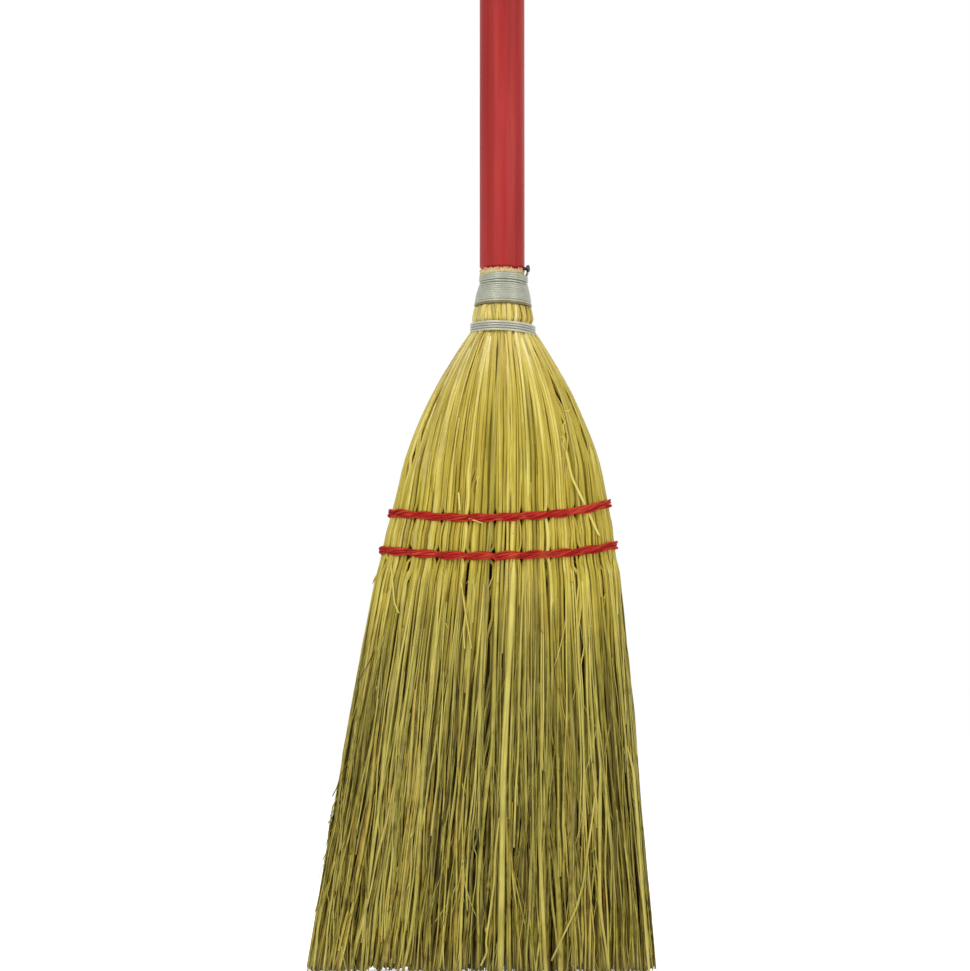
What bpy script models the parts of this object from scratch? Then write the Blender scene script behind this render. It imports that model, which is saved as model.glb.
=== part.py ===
"""Lobby broom: a broomcorn head wired and sewn onto a turned wooden handle.

Metres, +Z up. The straw tips stand on z = 0 and the handle's axis is the Z axis. The broom faces -Y.
"""

import math
import random

import bmesh
import bpy
import numpy as np
from mathutils import Vector

# Fits
CLEARANCE = 0.0003
LINING_CLEARANCE = 0.0005  # between the cover and the bundles inside it
CUT_OVERRUN = 0.002

# Handle: a dowel with a domed top, turned down where the straw is tied on
HANDLE_LENGTH = 0.762
HANDLE_RADIUS = 0.0097
HANDLE_DOME = 0.006
HANDLE_SUNK = 0.0704  # from the top of the binding down to the handle's foot
TENON_TOP_RADIUS = 0.0080
TENON_FOOT_RADIUS = 0.0065
TENON_SHOULDER = 0.0022
FOOT_CHAMFER = 0.0010
HANDLE_SIDES = 32
DOME_STEPS = 6

# Wire
WIRE_DIAMETER = 0.0011
WIRE_PITCH = 0.0016
LOWER_TURNS = 3
UPPER_TURNS = 8
INNER_TURNS = 2
LOOP_POINTS = 24
TAIL_SWEEP = math.radians(50)
LEAD_AZIMUTH = math.radians(180)

# Nail that holds the wire's end
NAIL_AZIMUTH = math.radians(-20)
NAIL_LIFT = 0.0017  # its axis above the binding
NAIL_DIAMETER = 0.0014
NAIL_LENGTH = 0.0095
NAIL_HEAD_DIAMETER = 0.0030
NAIL_HEAD_THICKNESS = 0.0008
NAIL_SIDES = 16

# Straw head, heights
STRAW_LENGTH = 0.2731  # tips to the lower edge of the binding
NECK_GAP = 0.0062  # bare straw between the two windings
TRIM_LENGTH = 0.0030  # trimmed ends above the binding
TRIM_STEP = 0.0006
ROW_DROP = 0.0756  # lower edge of the binding to the upper stitch row
ROW_SPACING = 0.0169
ROOT_DROP = 0.0126  # lower stitch row to where the straws part
SHOULDER_DROP = 0.0280
CORE_DROP = 0.0113

# Straw head, neck radii under the wire and between the windings
NECK_RADIUS = 0.0128
NECK_BULGE = 0.0007
CONE_LOW_RADIUS = 0.0114
CONE_TOP_RADIUS = 0.0093
TRIM_THICKNESS = 0.0007

# Straw head, fan
FLARE_RADIUS = 0.0136
LEFT_ROOT_REACH = 0.0550
RIGHT_ROOT_REACH = 0.0508
LEFT_TIP_REACH = 0.0842
RIGHT_TIP_REACH = 0.0660
SHOULDER_DEPTH = 0.0160
ROW_DEPTH = 0.0130
TIP_DEPTH = 0.0190
SHOULDER_COVER = 0.0042
ROW_COVER = 0.0050
TIP_COVER = 0.0080
CORE_RADIUS = 0.0095
FLARE_SLOPE_SHARE = 0.72
FAN_LEVEL_SHARES = (0.08, 0.18, 0.36, 0.57, 0.82)
END_SHARE = 0.92

# Locks: the bunches that the stitches divide the cover into
FRONT_LOCKS = 6
LOCK_PITCH = 0.0113  # between two stitches, at the upper row
LOCK_GAP = 0.0004
LOCK_COLUMNS = 6
LOCK_FAR_COLUMNS = 2
EDGE_COLUMNS = 16
EDGE_FAR_COLUMNS = 8
COVER_LAYERS = 2
CORE_COLUMNS = 10
LEFT_COLUMNS = 9
RIGHT_COLUMNS = 7
INNER_LAYERS = 5
GROOVE_SHARE = 0.22
TIP_SHARE = 0.62
TIP_TRIM = 0.0055
FULL_LENGTH_SHARE = 0.5
TRIM_SEED = 7

# Twine and the two stitch rows, which sag between the broom's edges
TWINE_DIAMETER = 0.0014
TWINE_PITCH = 0.0020
UPPER_SAG = 0.0044
LOWER_SAG = 0.0039
UPPER_TILT = 0.0021
LOWER_TILT = 0.0011
SAG_FADE = 0.0420
WRAP_END_POINTS = 9
WRAP_FACE_POINTS = 3
WRAP_BACK_POINTS = 2
WRAP_CROSSING_SHARE = 0.12
LEAN_SHARE = 0.10
DIVE_DEPTH = 0.0015
EMERGE = 0.0008

# Colours
RED_LACQUER = (0.42, 0.035, 0.030, 1)
STRAW_YELLOW = (0.50, 0.40, 0.12, 1)
STRAW_OLIVE = (0.30, 0.25, 0.07, 1)
GALVANISED = (0.42, 0.43, 0.41, 1)
DARK_STEEL = (0.06, 0.06, 0.06, 1)
TWINE_RED = (0.50, 0.030, 0.020, 1)

# Heights that follow
WIRE_RADIUS = WIRE_DIAMETER / 2
TWINE_RADIUS = TWINE_DIAMETER / 2
NECK_BOTTOM = STRAW_LENGTH
LOWER_TOP = NECK_BOTTOM + LOWER_TURNS * WIRE_PITCH + WIRE_DIAMETER
UPPER_BOTTOM = LOWER_TOP + NECK_GAP
UPPER_TOP = UPPER_BOTTOM + UPPER_TURNS * WIRE_PITCH + WIRE_DIAMETER
TRIM_TOP = UPPER_TOP + TRIM_LENGTH
NAIL_HEIGHT = UPPER_TOP + NAIL_LIFT
FOOT_HEIGHT = UPPER_TOP - HANDLE_SUNK
TENON_TOP = UPPER_TOP + WIRE_RADIUS
HANDLE_TOP = FOOT_HEIGHT + HANDLE_LENGTH
UPPER_ROW = NECK_BOTTOM - ROW_DROP
LOWER_ROW = UPPER_ROW - ROW_SPACING
ROOT_HEIGHT = LOWER_ROW - ROOT_DROP
SHOULDER_HEIGHT = NECK_BOTTOM - SHOULDER_DROP
CORE_TOP = NECK_BOTTOM - CORE_DROP
WRAP_HALF = TWINE_PITCH / 2 + TWINE_RADIUS
PASS_OFFSET = WRAP_HALF + CLEARANCE + TWINE_RADIUS
ROW_HALF = PASS_OFFSET + TWINE_RADIUS + CLEARANCE
SLOT_WIDTH = TWINE_DIAMETER + 2 * CLEARANCE
ROW_PINCH = TWINE_DIAMETER + CLEARANCE


def mix(first, second, share):
    return first + (second - first) * share


def clamp(share):
    return min(max(share, 0), 1)


def ease(share):
    share = clamp(share)
    return share * share * (3 - 2 * share)


def along(points, height):
    """The value at a height on a list of (height, value) that falls in height, in straight runs."""
    if height >= points[0][0]:
        return points[0][1]
    for (top, first), (bottom, second) in zip(points, points[1:]):
        if height >= bottom:
            return mix(first, second, (top - height) / (top - bottom))
    return points[-1][1]


def handle_radius(height):
    """The handle's radius where the straw covers it: full width, a shoulder, then the taper to the foot."""
    return along(
        (
            (TENON_TOP + TENON_SHOULDER, HANDLE_RADIUS),
            (TENON_TOP, TENON_TOP_RADIUS),
            (FOOT_HEIGHT, TENON_FOOT_RADIUS),
        ),
        height,
    )


NECK_PROFILE = (
    (TRIM_TOP, handle_radius(TRIM_TOP) + CLEARANCE + TRIM_THICKNESS),
    (UPPER_TOP + CLEARANCE, CONE_TOP_RADIUS),
    (UPPER_BOTTOM - CLEARANCE, CONE_LOW_RADIUS),
    ((UPPER_BOTTOM + LOWER_TOP) / 2, NECK_RADIUS + NECK_BULGE),
    (LOWER_TOP + CLEARANCE, NECK_RADIUS),
    (NECK_BOTTOM - CLEARANCE, NECK_RADIUS),
)
ROW_TOP = UPPER_ROW + ROW_HALF
FAN_LEVELS = [mix(NECK_BOTTOM, ROW_TOP, share) for share in FAN_LEVEL_SHARES]
ROW_LEVELS = (
    ROW_TOP,
    UPPER_ROW - ROW_HALF,
    (UPPER_ROW + LOWER_ROW) / 2,
    LOWER_ROW + ROW_HALF,
    LOWER_ROW - ROW_HALF,
    ROOT_HEIGHT,
)
COVER_LEVELS = [height for height, radius in NECK_PROFILE] + FAN_LEVELS + list(ROW_LEVELS)


def side_reach(height, root_reach, tip_reach):
    """How far a side of the fan reaches from the handle's axis: straight to the tips, curved to the neck."""
    if height <= ROOT_HEIGHT:
        return mix(tip_reach, root_reach, height / ROOT_HEIGHT)
    run = NECK_BOTTOM - ROOT_HEIGHT
    t = (NECK_BOTTOM - height) / run
    start_slope = FLARE_SLOPE_SHARE * run
    end_slope = (tip_reach - root_reach) / ROOT_HEIGHT * run
    return (
        FLARE_RADIUS * (2 * t**3 - 3 * t**2 + 1)
        + start_slope * (t**3 - 2 * t**2 + t)
        + root_reach * (3 * t**2 - 2 * t**3)
        + end_slope * (t**3 - t**2)
    )


def fan_depth(height):
    """Half of the fan's thickness."""
    if height >= SHOULDER_HEIGHT:
        share = (NECK_BOTTOM - height) / SHOULDER_DROP
        return mix(NECK_RADIUS, SHOULDER_DEPTH, math.sin(share * math.pi / 2))
    if height >= ROW_TOP:
        return mix(ROW_DEPTH, SHOULDER_DEPTH, ease((height - ROW_TOP) / (SHOULDER_HEIGHT - ROW_TOP)))
    if height >= ROOT_HEIGHT:
        return ROW_DEPTH
    return mix(TIP_DEPTH, ROW_DEPTH, height / ROOT_HEIGHT)


def cinch(height):
    """How tightly the stitches draw the straw in: 1 in a row, 0 between the rows and outside them."""
    middle = (UPPER_ROW + LOWER_ROW) / 2
    return along(
        (
            (FAN_LEVELS[-1], 0),
            (ROW_TOP, 1),
            (UPPER_ROW - ROW_HALF, 1),
            (middle, 0),
            (LOWER_ROW + ROW_HALF, 1),
            (LOWER_ROW - ROW_HALF, 1),
            (ROOT_HEIGHT, 0),
        ),
        height,
    )


def section(height):
    """The head's section at a height: centre, half width, half depth. Round in the neck, then oblong."""
    if height >= NECK_PROFILE[-1][0]:
        radius = along(NECK_PROFILE, height)
        return 0, radius, radius
    left = side_reach(height, LEFT_ROOT_REACH, LEFT_TIP_REACH)
    right = side_reach(height, RIGHT_ROOT_REACH, RIGHT_TIP_REACH)
    pinch = ROW_PINCH * cinch(height)
    half_depth = fan_depth(height) - pinch
    return (right - left) / 2, max((right + left) / 2 - pinch, half_depth), half_depth


def cover_thickness(height):
    if height >= NECK_PROFILE[-1][0]:
        return section(height)[1] - handle_radius(height) - CLEARANCE
    seat = NECK_RADIUS - handle_radius(NECK_BOTTOM) - CLEARANCE
    return along(
        (
            (NECK_BOTTOM, seat),
            (FAN_LEVELS[1], SHOULDER_COVER),
            (FAN_LEVELS[-1], SHOULDER_COVER),
            (ROW_TOP, ROW_COVER),
            (ROOT_HEIGHT, ROW_COVER),
            (0, TIP_COVER),
        ),
        height,
    )


def girth(height):
    """The distance round the head at a height."""
    centre, half_width, half_depth = section(height)
    return 4 * (half_width - half_depth) + 2 * math.pi * half_depth


LOCK_SHARE = LOCK_PITCH / girth(UPPER_ROW)


def gap_width(height):
    return mix(LOCK_GAP, SLOT_WIDTH, cinch(height))


def sagged(x, y, height):
    """A point of the fan, lowered by the sag of the stitch rows, which fades out above and below them."""
    centre, half_width, half_depth = section(height)
    across = (x - centre) / half_width
    between = clamp((height - LOWER_ROW) / ROW_SPACING)
    fade = 1 - ease(max(height - UPPER_ROW, LOWER_ROW - height, 0) / SAG_FADE)
    sag = mix(LOWER_SAG, UPPER_SAG, between) * fade
    tilt = mix(LOWER_TILT, UPPER_TILT, between) * fade
    return Vector((x, y, height - sag * (1 - across * across) + tilt * across))


def on_rim(height, share, depth):
    """A point a share of the way round the head from the front's middle, towards +X, and in by a depth."""
    centre, half_width, half_depth = section(height)
    straight = half_width - half_depth
    curve = math.pi * half_depth
    distance = share % 1 * (4 * straight + 2 * curve)
    inner = half_depth - depth
    if distance <= straight:
        return sagged(centre + distance, -inner, height)
    distance -= straight
    if distance <= curve:
        angle = distance / half_depth - math.pi / 2
        return sagged(centre + straight + inner * math.cos(angle), inner * math.sin(angle), height)
    distance -= curve
    if distance <= 2 * straight:
        return sagged(centre + straight - distance, inner, height)
    distance -= 2 * straight
    if distance <= curve:
        angle = distance / half_depth + math.pi / 2
        return sagged(centre - straight + inner * math.cos(angle), inner * math.sin(angle), height)
    return sagged(centre - straight + distance - curve, -inner, height)


def gap_share(index):
    """Where a gap between two locks lies on the front, from 0 at the left to FRONT_LOCKS at the right."""
    return (index - FRONT_LOCKS / 2) * LOCK_SHARE


def material(name, colour, roughness, metallic=0):
    made = bpy.data.materials.new(name)
    made.use_nodes = True
    shader = made.node_tree.nodes["Principled BSDF"]
    shader.inputs["Base Color"].default_value = colour
    shader.inputs["Roughness"].default_value = roughness
    shader.inputs["Metallic"].default_value = metallic
    return made


def add_object(name, data, look):
    made = bpy.data.objects.new(name, data)
    bpy.context.scene.collection.objects.link(made)
    data.materials.append(look)
    made.parent = broom
    return made


def mesh_object(name, mesh_builder, look, smooth_angle=math.radians(35)):
    mesh = bpy.data.meshes.new(name)
    bmesh.ops.recalc_face_normals(mesh_builder, faces=mesh_builder.faces)
    mesh_builder.to_mesh(mesh)
    mesh_builder.free()
    mesh.shade_smooth()
    mesh.set_sharp_from_angle(angle=smooth_angle)
    return add_object(name, mesh, look)


def turned(profile, sides):
    """A solid of revolution from (radius, height) points, the first and last of which lie on the axis."""
    builder = bmesh.new()
    rings = []
    for radius, height in profile[1:-1]:
        angles = [2 * math.pi * side / sides for side in range(sides)]
        ring = [builder.verts.new((radius * math.cos(a), radius * math.sin(a), height)) for a in angles]
        rings.append(ring)
    for upper, lower in zip(rings, rings[1:]):
        for side in range(sides):
            following = (side + 1) % sides
            builder.faces.new((upper[side], upper[following], lower[following], lower[side]))
    for ring, (radius, height) in ((rings[0], profile[0]), (rings[-1], profile[-1])):
        tip = builder.verts.new((radius, radius, height))
        for side in range(sides):
            builder.faces.new((ring[side], ring[(side + 1) % sides], tip))
    return builder


def cut(target, cutter):
    cutter.hide_render = True
    cutter.display_type = "WIRE"
    modifier = target.modifiers.new(cutter.name, "BOOLEAN")
    modifier.operation = "DIFFERENCE"
    modifier.solver = "EXACT"
    modifier.object = cutter


def handle():
    dome_base = HANDLE_TOP - HANDLE_DOME
    angles = [math.pi / 2 * (1 - step / DOME_STEPS) for step in range(1, DOME_STEPS + 1)]
    dome = [(HANDLE_RADIUS * math.cos(a), dome_base + HANDLE_DOME * math.sin(a)) for a in angles]
    profile = [
        (0, HANDLE_TOP),
        *dome,
        (HANDLE_RADIUS, TENON_TOP + TENON_SHOULDER),
        (TENON_TOP_RADIUS, TENON_TOP),
        (TENON_FOOT_RADIUS, FOOT_HEIGHT + FOOT_CHAMFER),
        (TENON_FOOT_RADIUS - FOOT_CHAMFER, FOOT_HEIGHT),
        (0, FOOT_HEIGHT),
    ]
    body = mesh_object("handle", turned(profile, HANDLE_SIDES), red_lacquer)
    hole_radius = NAIL_DIAMETER / 2 + CLEARANCE
    depth = nail_shank() + CLEARANCE
    profile = [(0, CUT_OVERRUN), (hole_radius, CUT_OVERRUN), (hole_radius, -depth), (0, -depth)]
    cut(body, aim_nail(mesh_object("nail_hole", turned(profile, NAIL_SIDES), dark_steel)))


def nail_seat():
    """How far the underside of the nail's head stands off the handle: the wire's tail passes beneath it."""
    return WIRE_DIAMETER + 2 * CLEARANCE


def nail_shank():
    """How deep the nail's shank goes into the handle."""
    return NAIL_LENGTH - nail_seat()


def aim_nail(piece):
    """Turns a piece that was made pointing up so that it points out of the handle at the nail's place."""
    piece.rotation_euler = (0, math.pi / 2, NAIL_AZIMUTH)
    piece.location = turn_point(HANDLE_RADIUS, NAIL_AZIMUTH, NAIL_HEIGHT)
    return piece


def nail():
    radius = NAIL_DIAMETER / 2
    head = NAIL_HEAD_DIAMETER / 2
    seat = nail_seat()
    profile = [
        (0, seat + NAIL_HEAD_THICKNESS),
        (head, seat + NAIL_HEAD_THICKNESS),
        (head, seat),
        (radius, seat),
        (radius, radius - nail_shank()),
        (0, -nail_shank()),
    ]
    aim_nail(mesh_object("wire_nail", turned(profile, NAIL_SIDES), dark_steel))


def straw_bundle(name, place, columns, layers, levels, far_columns, look, draw, full_column=None):
    """A bunch of straws in one piece: a loft that parts, at its lowest level, into columns x layers straws.

    place(height, across, through) gives a point; across and through run from 0 to 1 over the bunch.
    Above the lowest level the body has all its columns on the near side, and far_columns on the far side.
    Neighbours split the sides that face each other along the same diagonals, so the gap stays even.
    """
    builder = bmesh.new()

    def put(height, column, layer):
        return builder.verts.new(place(height, column / columns, layer / layers))

    near = [(column, 0) for column in range(columns)]
    right = [(columns, layer) for layer in range(layers)]
    far = [(column, layers) for column in range(columns, 0, -1)]
    left = [(0, layer) for layer in range(layers, 0, -1)]
    around = near + right + far + left
    kept = [
        spot
        for spot in around
        if spot[1] == 0
        or (spot[0] in (0, columns) and spot[1] == layers)
        or (spot[1] == layers and spot[0] % (columns // far_columns) == 0)
    ]
    rings = [{spot: put(height, *spot) for spot in kept} for height in levels[:-1]]
    root = {(c, r): put(levels[-1], c, r) for c in range(columns + 1) for r in range(layers + 1)}
    following = dict(zip(kept, kept[1:] + kept[:1]))
    builder.faces.new([rings[0][spot] for spot in kept])
    for upper, lower in zip(rings, rings[1:]):
        for spot in kept:
            after = following[spot]
            if spot[1] <= after[1]:
                builder.faces.new((upper[spot], upper[after], lower[after]))
                builder.faces.new((upper[spot], lower[after], lower[spot]))
            else:
                builder.faces.new((upper[spot], upper[after], lower[spot]))
                builder.faces.new((upper[after], lower[after], lower[spot]))
    for spot in kept:
        start, end = around.index(spot), around.index(following[spot])
        steps = (end - start) % len(around)
        run = [root[around[(start + step) % len(around)]] for step in range(steps, -1, -1)]
        builder.faces.new([rings[-1][spot], rings[-1][following[spot]]] + run)
    for column in range(columns):
        for layer in range(layers):
            corners = ((column, layer), (column + 1, layer), (column + 1, layer + 1), (column, layer + 1))
            cut_short = draw.random() > FULL_LENGTH_SHARE and column != full_column
            tip_height = TIP_TRIM * draw.random() if cut_short else 0
            tips = []
            for corner_column, corner_layer in corners:
                across = mix(column + 0.5, corner_column, TIP_SHARE)
                through = mix(layer + 0.5, corner_layer, TIP_SHARE)
                tips.append(put(tip_height, across, through))
            for side in range(4):
                after = (side + 1) % 4
                builder.faces.new((root[corners[side]], root[corners[after]], tips[after], tips[side]))
            builder.faces.new(tips)
    return mesh_object(name, builder, look)


def cover_lock(name, first_share, last_share, columns, far_columns, top, draw):
    """One lock of the cover, from its trimmed top to its tips, between two shares of the head's girth."""

    def place(height, across, through):
        edge = gap_width(height) / 2 / girth(height)
        share = mix(first_share + edge, last_share - edge, across)
        straw_width = (last_share - first_share) * girth(height) / columns
        grooved = through == 0 and round(across * columns) % 2 == 0
        groove = GROOVE_SHARE * straw_width if grooved and height > 0 else 0
        thickness = cover_thickness(height)
        return on_rim(height, share, max(thickness * through, min(groove, thickness / 2)))

    levels = [top] + COVER_LEVELS[1:]
    straw_bundle(name, place, columns, COVER_LAYERS, levels, far_columns, straw_yellow, draw)


def cover(draw):
    """The locks of the cover, trimmed to three lengths in turn at the top, and the two edges of the fan."""
    for number in range(1, FRONT_LOCKS + 1):
        first, last = gap_share(number - 1), gap_share(number)
        top = TRIM_TOP - TRIM_STEP * (number * 2 % 3)
        cover_lock(f"cover_front_{number}", first, last, LOCK_COLUMNS, LOCK_FAR_COLUMNS, top, draw)
        top = TRIM_TOP - TRIM_STEP * (number % 3)
        cover_lock(f"cover_back_{number}", 0.5 - last, 0.5 - first, LOCK_COLUMNS, LOCK_FAR_COLUMNS, top, draw)
    edge = gap_share(FRONT_LOCKS)
    under_nail = NAIL_HEIGHT - NAIL_DIAMETER / 2 - CLEARANCE
    cover_lock("cover_right_edge", edge, 0.5 - edge, EDGE_COLUMNS, EDGE_FAR_COLUMNS, under_nail, draw)
    cover_lock("cover_left_edge", 0.5 + edge, 1 - edge, EDGE_COLUMNS, EDGE_FAR_COLUMNS, TRIM_TOP, draw)


def inside(height):
    """The space inside the cover at a height: centre, half length of its straight part, half depth."""
    centre, half_width, half_depth = section(height)
    return centre, half_width - half_depth, half_depth - cover_thickness(height) - LINING_CLEARANCE


def roundness(height):
    """How far the core is gathered round the handle: 1 where the inner wire ties it, 0 below the foot."""
    return ease((height - FAN_LEVELS[3]) / (FAN_LEVELS[2] - FAN_LEVELS[3]))


def core_side(height, index):
    """The x of the core's side at the gap between two locks, gathered in to its radius at the handle."""
    line = on_rim(height, gap_share(index), 0).x
    sign = 1 if index > FRONT_LOCKS / 2 else -1
    at_stitches = line - sign * gap_width(height) / 2
    return mix(at_stitches, sign * CORE_RADIUS, roundness(height))


CORE_FIRST_GAP = FRONT_LOCKS // 2 - 1
CORE_LAST_GAP = FRONT_LOCKS // 2 + 1


def core_place(height, across, through):
    left, right = core_side(height, CORE_FIRST_GAP), core_side(height, CORE_LAST_GAP)
    half_depth = mix(inside(height)[2], CORE_RADIUS, roundness(height))
    u, v = 2 * across - 1, 2 * through - 1
    gathered = roundness(height)
    x = mix(u, u * math.sqrt(1 - v * v / 2), gathered)
    y = mix(v, v * math.sqrt(1 - u * u / 2), gathered)
    return sagged((left + right) / 2 + (right - left) / 2 * x, half_depth * y, height)


def shoulder_place(sign):
    """Where the points of one shoulder lie, between the core and the inside of the cover's edge."""
    gap = CORE_LAST_GAP if sign > 0 else CORE_FIRST_GAP

    def place(height, across, through):
        centre, straight, half_depth = inside(height)
        line = on_rim(height, gap_share(gap), 0).x + sign * gap_width(height) / 2
        beside_wire = sign * (CORE_RADIUS + WIRE_DIAMETER + 2 * CLEARANCE)
        near = mix(line, beside_wire, roundness(height))
        far = centre + sign * (straight + END_SHARE * half_depth)
        x = mix(near, far, across)
        past = max(sign * (x - centre) - straight, 0)
        y = (2 * through - 1) * math.sqrt(max(half_depth**2 - past**2, 0))
        return sagged(x, y, height)

    return place


def stitch_slots(name, gaps):
    """A cutter with one upright slot through the straw for each gap and row, as wide as the twine needs."""
    builder = bmesh.new()
    for row in (UPPER_ROW, LOWER_ROW):
        for index in gaps:
            low = on_rim(row - PASS_OFFSET, gap_share(index), 0)
            high = on_rim(row + PASS_OFFSET, gap_share(index), 0)
            size = (SLOT_WIDTH + abs(high.x - low.x), 2 * SHOULDER_DEPTH, SLOT_WIDTH + high.z - low.z)
            made = bmesh.ops.create_cube(builder, size=1)["verts"]
            bmesh.ops.scale(builder, verts=made, vec=size)
            bmesh.ops.translate(builder, verts=made, vec=((low.x + high.x) / 2, 0, (low.z + high.z) / 2))
    return mesh_object(name, builder, dark_steel)


def inner_bundle(name, place, columns, draw, full_column=None):
    levels = [CORE_TOP] + FAN_LEVELS[2:] + list(ROW_LEVELS)
    return straw_bundle(name, place, columns, INNER_LAYERS, levels, columns, straw_olive, draw, full_column)


def standing_column():
    """The core's column of straws that stands under the handle's axis."""
    left, right = core_side(0, CORE_FIRST_GAP), core_side(0, CORE_LAST_GAP)
    return math.floor(-left / (right - left) * CORE_COLUMNS)


def inner_bundles(draw):
    """The bundles under the cover: the core, tied round the handle's foot, and a shoulder on each side."""
    core = inner_bundle("core_bundle", core_place, CORE_COLUMNS, draw, standing_column())
    bore = [
        (0, CORE_TOP + CUT_OVERRUN),
        (handle_radius(CORE_TOP + CUT_OVERRUN) + CLEARANCE, CORE_TOP + CUT_OVERRUN),
        (TENON_FOOT_RADIUS + CLEARANCE, FOOT_HEIGHT - CLEARANCE),
        (0, FOOT_HEIGHT - CLEARANCE),
    ]
    cut(core, mesh_object("handle_bore", turned(bore, HANDLE_SIDES), dark_steel))
    cut(core, stitch_slots("core_slots", range(CORE_FIRST_GAP + 1, CORE_LAST_GAP)))
    left = inner_bundle("left_shoulder_bundle", shoulder_place(-1), LEFT_COLUMNS, draw)
    cut(left, stitch_slots("left_slots", range(CORE_FIRST_GAP)))
    right = inner_bundle("right_shoulder_bundle", shoulder_place(1), RIGHT_COLUMNS, draw)
    cut(right, stitch_slots("right_slots", range(CORE_LAST_GAP + 1, FRONT_LOCKS + 1)))


def least_gap(points, diameter):
    """The least gap between two parts of a tube that lie over three diameters apart along it."""
    places = np.array([list(point) for point in points])
    steps = np.linspace(0, 1, 5)[:-1]
    fine = np.concatenate([places[:-1] + step * (places[1:] - places[:-1]) for step in steps])
    lengths = np.concatenate(([0], np.cumsum(np.linalg.norm(np.diff(places, axis=0), axis=1))))
    run = np.concatenate([lengths[:-1] + step * np.diff(lengths) for step in steps])
    apart = np.linalg.norm(fine[:, None] - fine[None], axis=2)
    far_along = np.abs(run[:, None] - run[None]) > 3 * diameter
    return apart[far_along].min() - diameter


def tube(name, points, diameter, look):
    """An unbroken round tube through the points."""
    curve = bpy.data.curves.new(name, "CURVE")
    curve.dimensions = "3D"
    curve.bevel_depth = diameter / 2
    curve.bevel_resolution = 1
    curve.use_fill_caps = True
    spline = curve.splines.new("POLY")
    spline.points.add(len(points) - 1)
    for place, point in zip(spline.points, points):
        place.co = (*point, 1)
    print(f"{name}: least gap to itself {least_gap(points, diameter) * 1000:.2f} mm")
    return add_object(name, curve, look)


def turn_point(radius, azimuth, height):
    return Vector((radius * math.cos(azimuth), radius * math.sin(azimuth), height))


def binding_wire():
    """One wire: turns below, a lead up across the neck behind, turns on the cone, a tail at the nail."""

    def seat(height):
        return along(NECK_PROFILE, height) + CLEARANCE + WIRE_RADIUS

    top_azimuth = NAIL_AZIMUTH + TAIL_SWEEP
    lower_steps = LOWER_TURNS * LOOP_POINTS
    upper_steps = UPPER_TURNS * LOOP_POINTS
    lead_sweep = (LEAD_AZIMUTH - top_azimuth) % (2 * math.pi)
    lead_steps = round(lead_sweep / (2 * math.pi) * LOOP_POINTS)
    step_angle = 2 * math.pi / LOOP_POINTS
    points = []
    for step in range(lower_steps):
        height = NECK_BOTTOM + WIRE_RADIUS + WIRE_PITCH * step / LOOP_POINTS
        points.append(turn_point(seat(NECK_BOTTOM), LEAD_AZIMUTH - step * step_angle, height))
    for step in range(lead_steps):
        share = step / lead_steps
        height = mix(LOWER_TOP - WIRE_RADIUS, UPPER_BOTTOM + WIRE_RADIUS, ease(share))
        points.append(turn_point(seat(height), LEAD_AZIMUTH - lead_sweep * share, height))
    for step in range(upper_steps):
        height = UPPER_BOTTOM + WIRE_RADIUS + WIRE_PITCH * step / LOOP_POINTS
        points.append(turn_point(seat(height), top_azimuth - step * step_angle, height))
    start = UPPER_TOP - WIRE_RADIUS
    end = NAIL_HEIGHT + NAIL_DIAMETER / 2 + CLEARANCE + WIRE_RADIUS
    tail_steps = round(TAIL_SWEEP / step_angle)
    tail_radius = HANDLE_RADIUS + CLEARANCE + WIRE_RADIUS
    for step in range(tail_steps + 1):
        share = step / tail_steps
        radius = mix(seat(start), tail_radius, share)
        azimuth = mix(top_azimuth, NAIL_AZIMUTH, share)
        points.append(turn_point(radius, azimuth, mix(start, end, ease(share))))
    along_tail = turn_point(1, NAIL_AZIMUTH - math.pi / 2, 0)
    points.append(points[-1] + along_tail * WIRE_DIAMETER)
    tube("binding_wire", points, WIRE_DIAMETER, galvanised)


def inner_wire():
    """The turns that tie the core to the handle, hidden under the cover."""
    radius = CORE_RADIUS + CLEARANCE + WIRE_RADIUS
    middle = (CORE_TOP + FAN_LEVELS[2]) / 2
    points = []
    for step in range(INNER_TURNS * LOOP_POINTS + 1):
        turn = step / LOOP_POINTS
        height = middle + WIRE_PITCH * (turn - INNER_TURNS / 2)
        points.append(turn_point(radius, -2 * math.pi * turn, height))
    tube("inner_wire", points, WIRE_DIAMETER, galvanised)


def wrap_shares(row):
    """Shares of the girth for a loop of twine from the middle of the back, closer at the ends."""
    centre, half_width, half_depth = section(row)
    face = 2 * (half_width - half_depth) / girth(row)
    end = 0.5 - face
    back_shares = [face / 2 * step / WRAP_BACK_POINTS for step in range(WRAP_BACK_POINTS)]
    end_shares = [end * step / WRAP_END_POINTS for step in range(WRAP_END_POINTS)]
    front_shares = [face * step / WRAP_FACE_POINTS for step in range(WRAP_FACE_POINTS)]
    loop = [0.5 + share for share in back_shares]
    loop += [0.5 + face / 2 + share for share in end_shares]
    loop += [1 - face / 2 + share for share in front_shares]
    loop += [1 + face / 2 + share for share in end_shares]
    return loop + [1 + face / 2 + end + share for share in back_shares]


def twine_wrap(name, row):
    """The twine laid twice round the fan: a loop high in the row, a crossing behind, a loop low in it."""
    out = CLEARANCE + TWINE_RADIUS
    loop = wrap_shares(row)
    upper = [share for share in loop if share <= loop[0] + 1 - WRAP_CROSSING_SHARE]
    lower = [share for share in loop if share < loop[0] + 1 - 2 * WRAP_CROSSING_SHARE]
    points = [on_rim(row + TWINE_PITCH / 2, share, -out) for share in upper]
    points += [on_rim(row - TWINE_PITCH / 2, share, -out) for share in lower]
    tube(name, points, TWINE_DIAMETER, twine_red)


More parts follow.
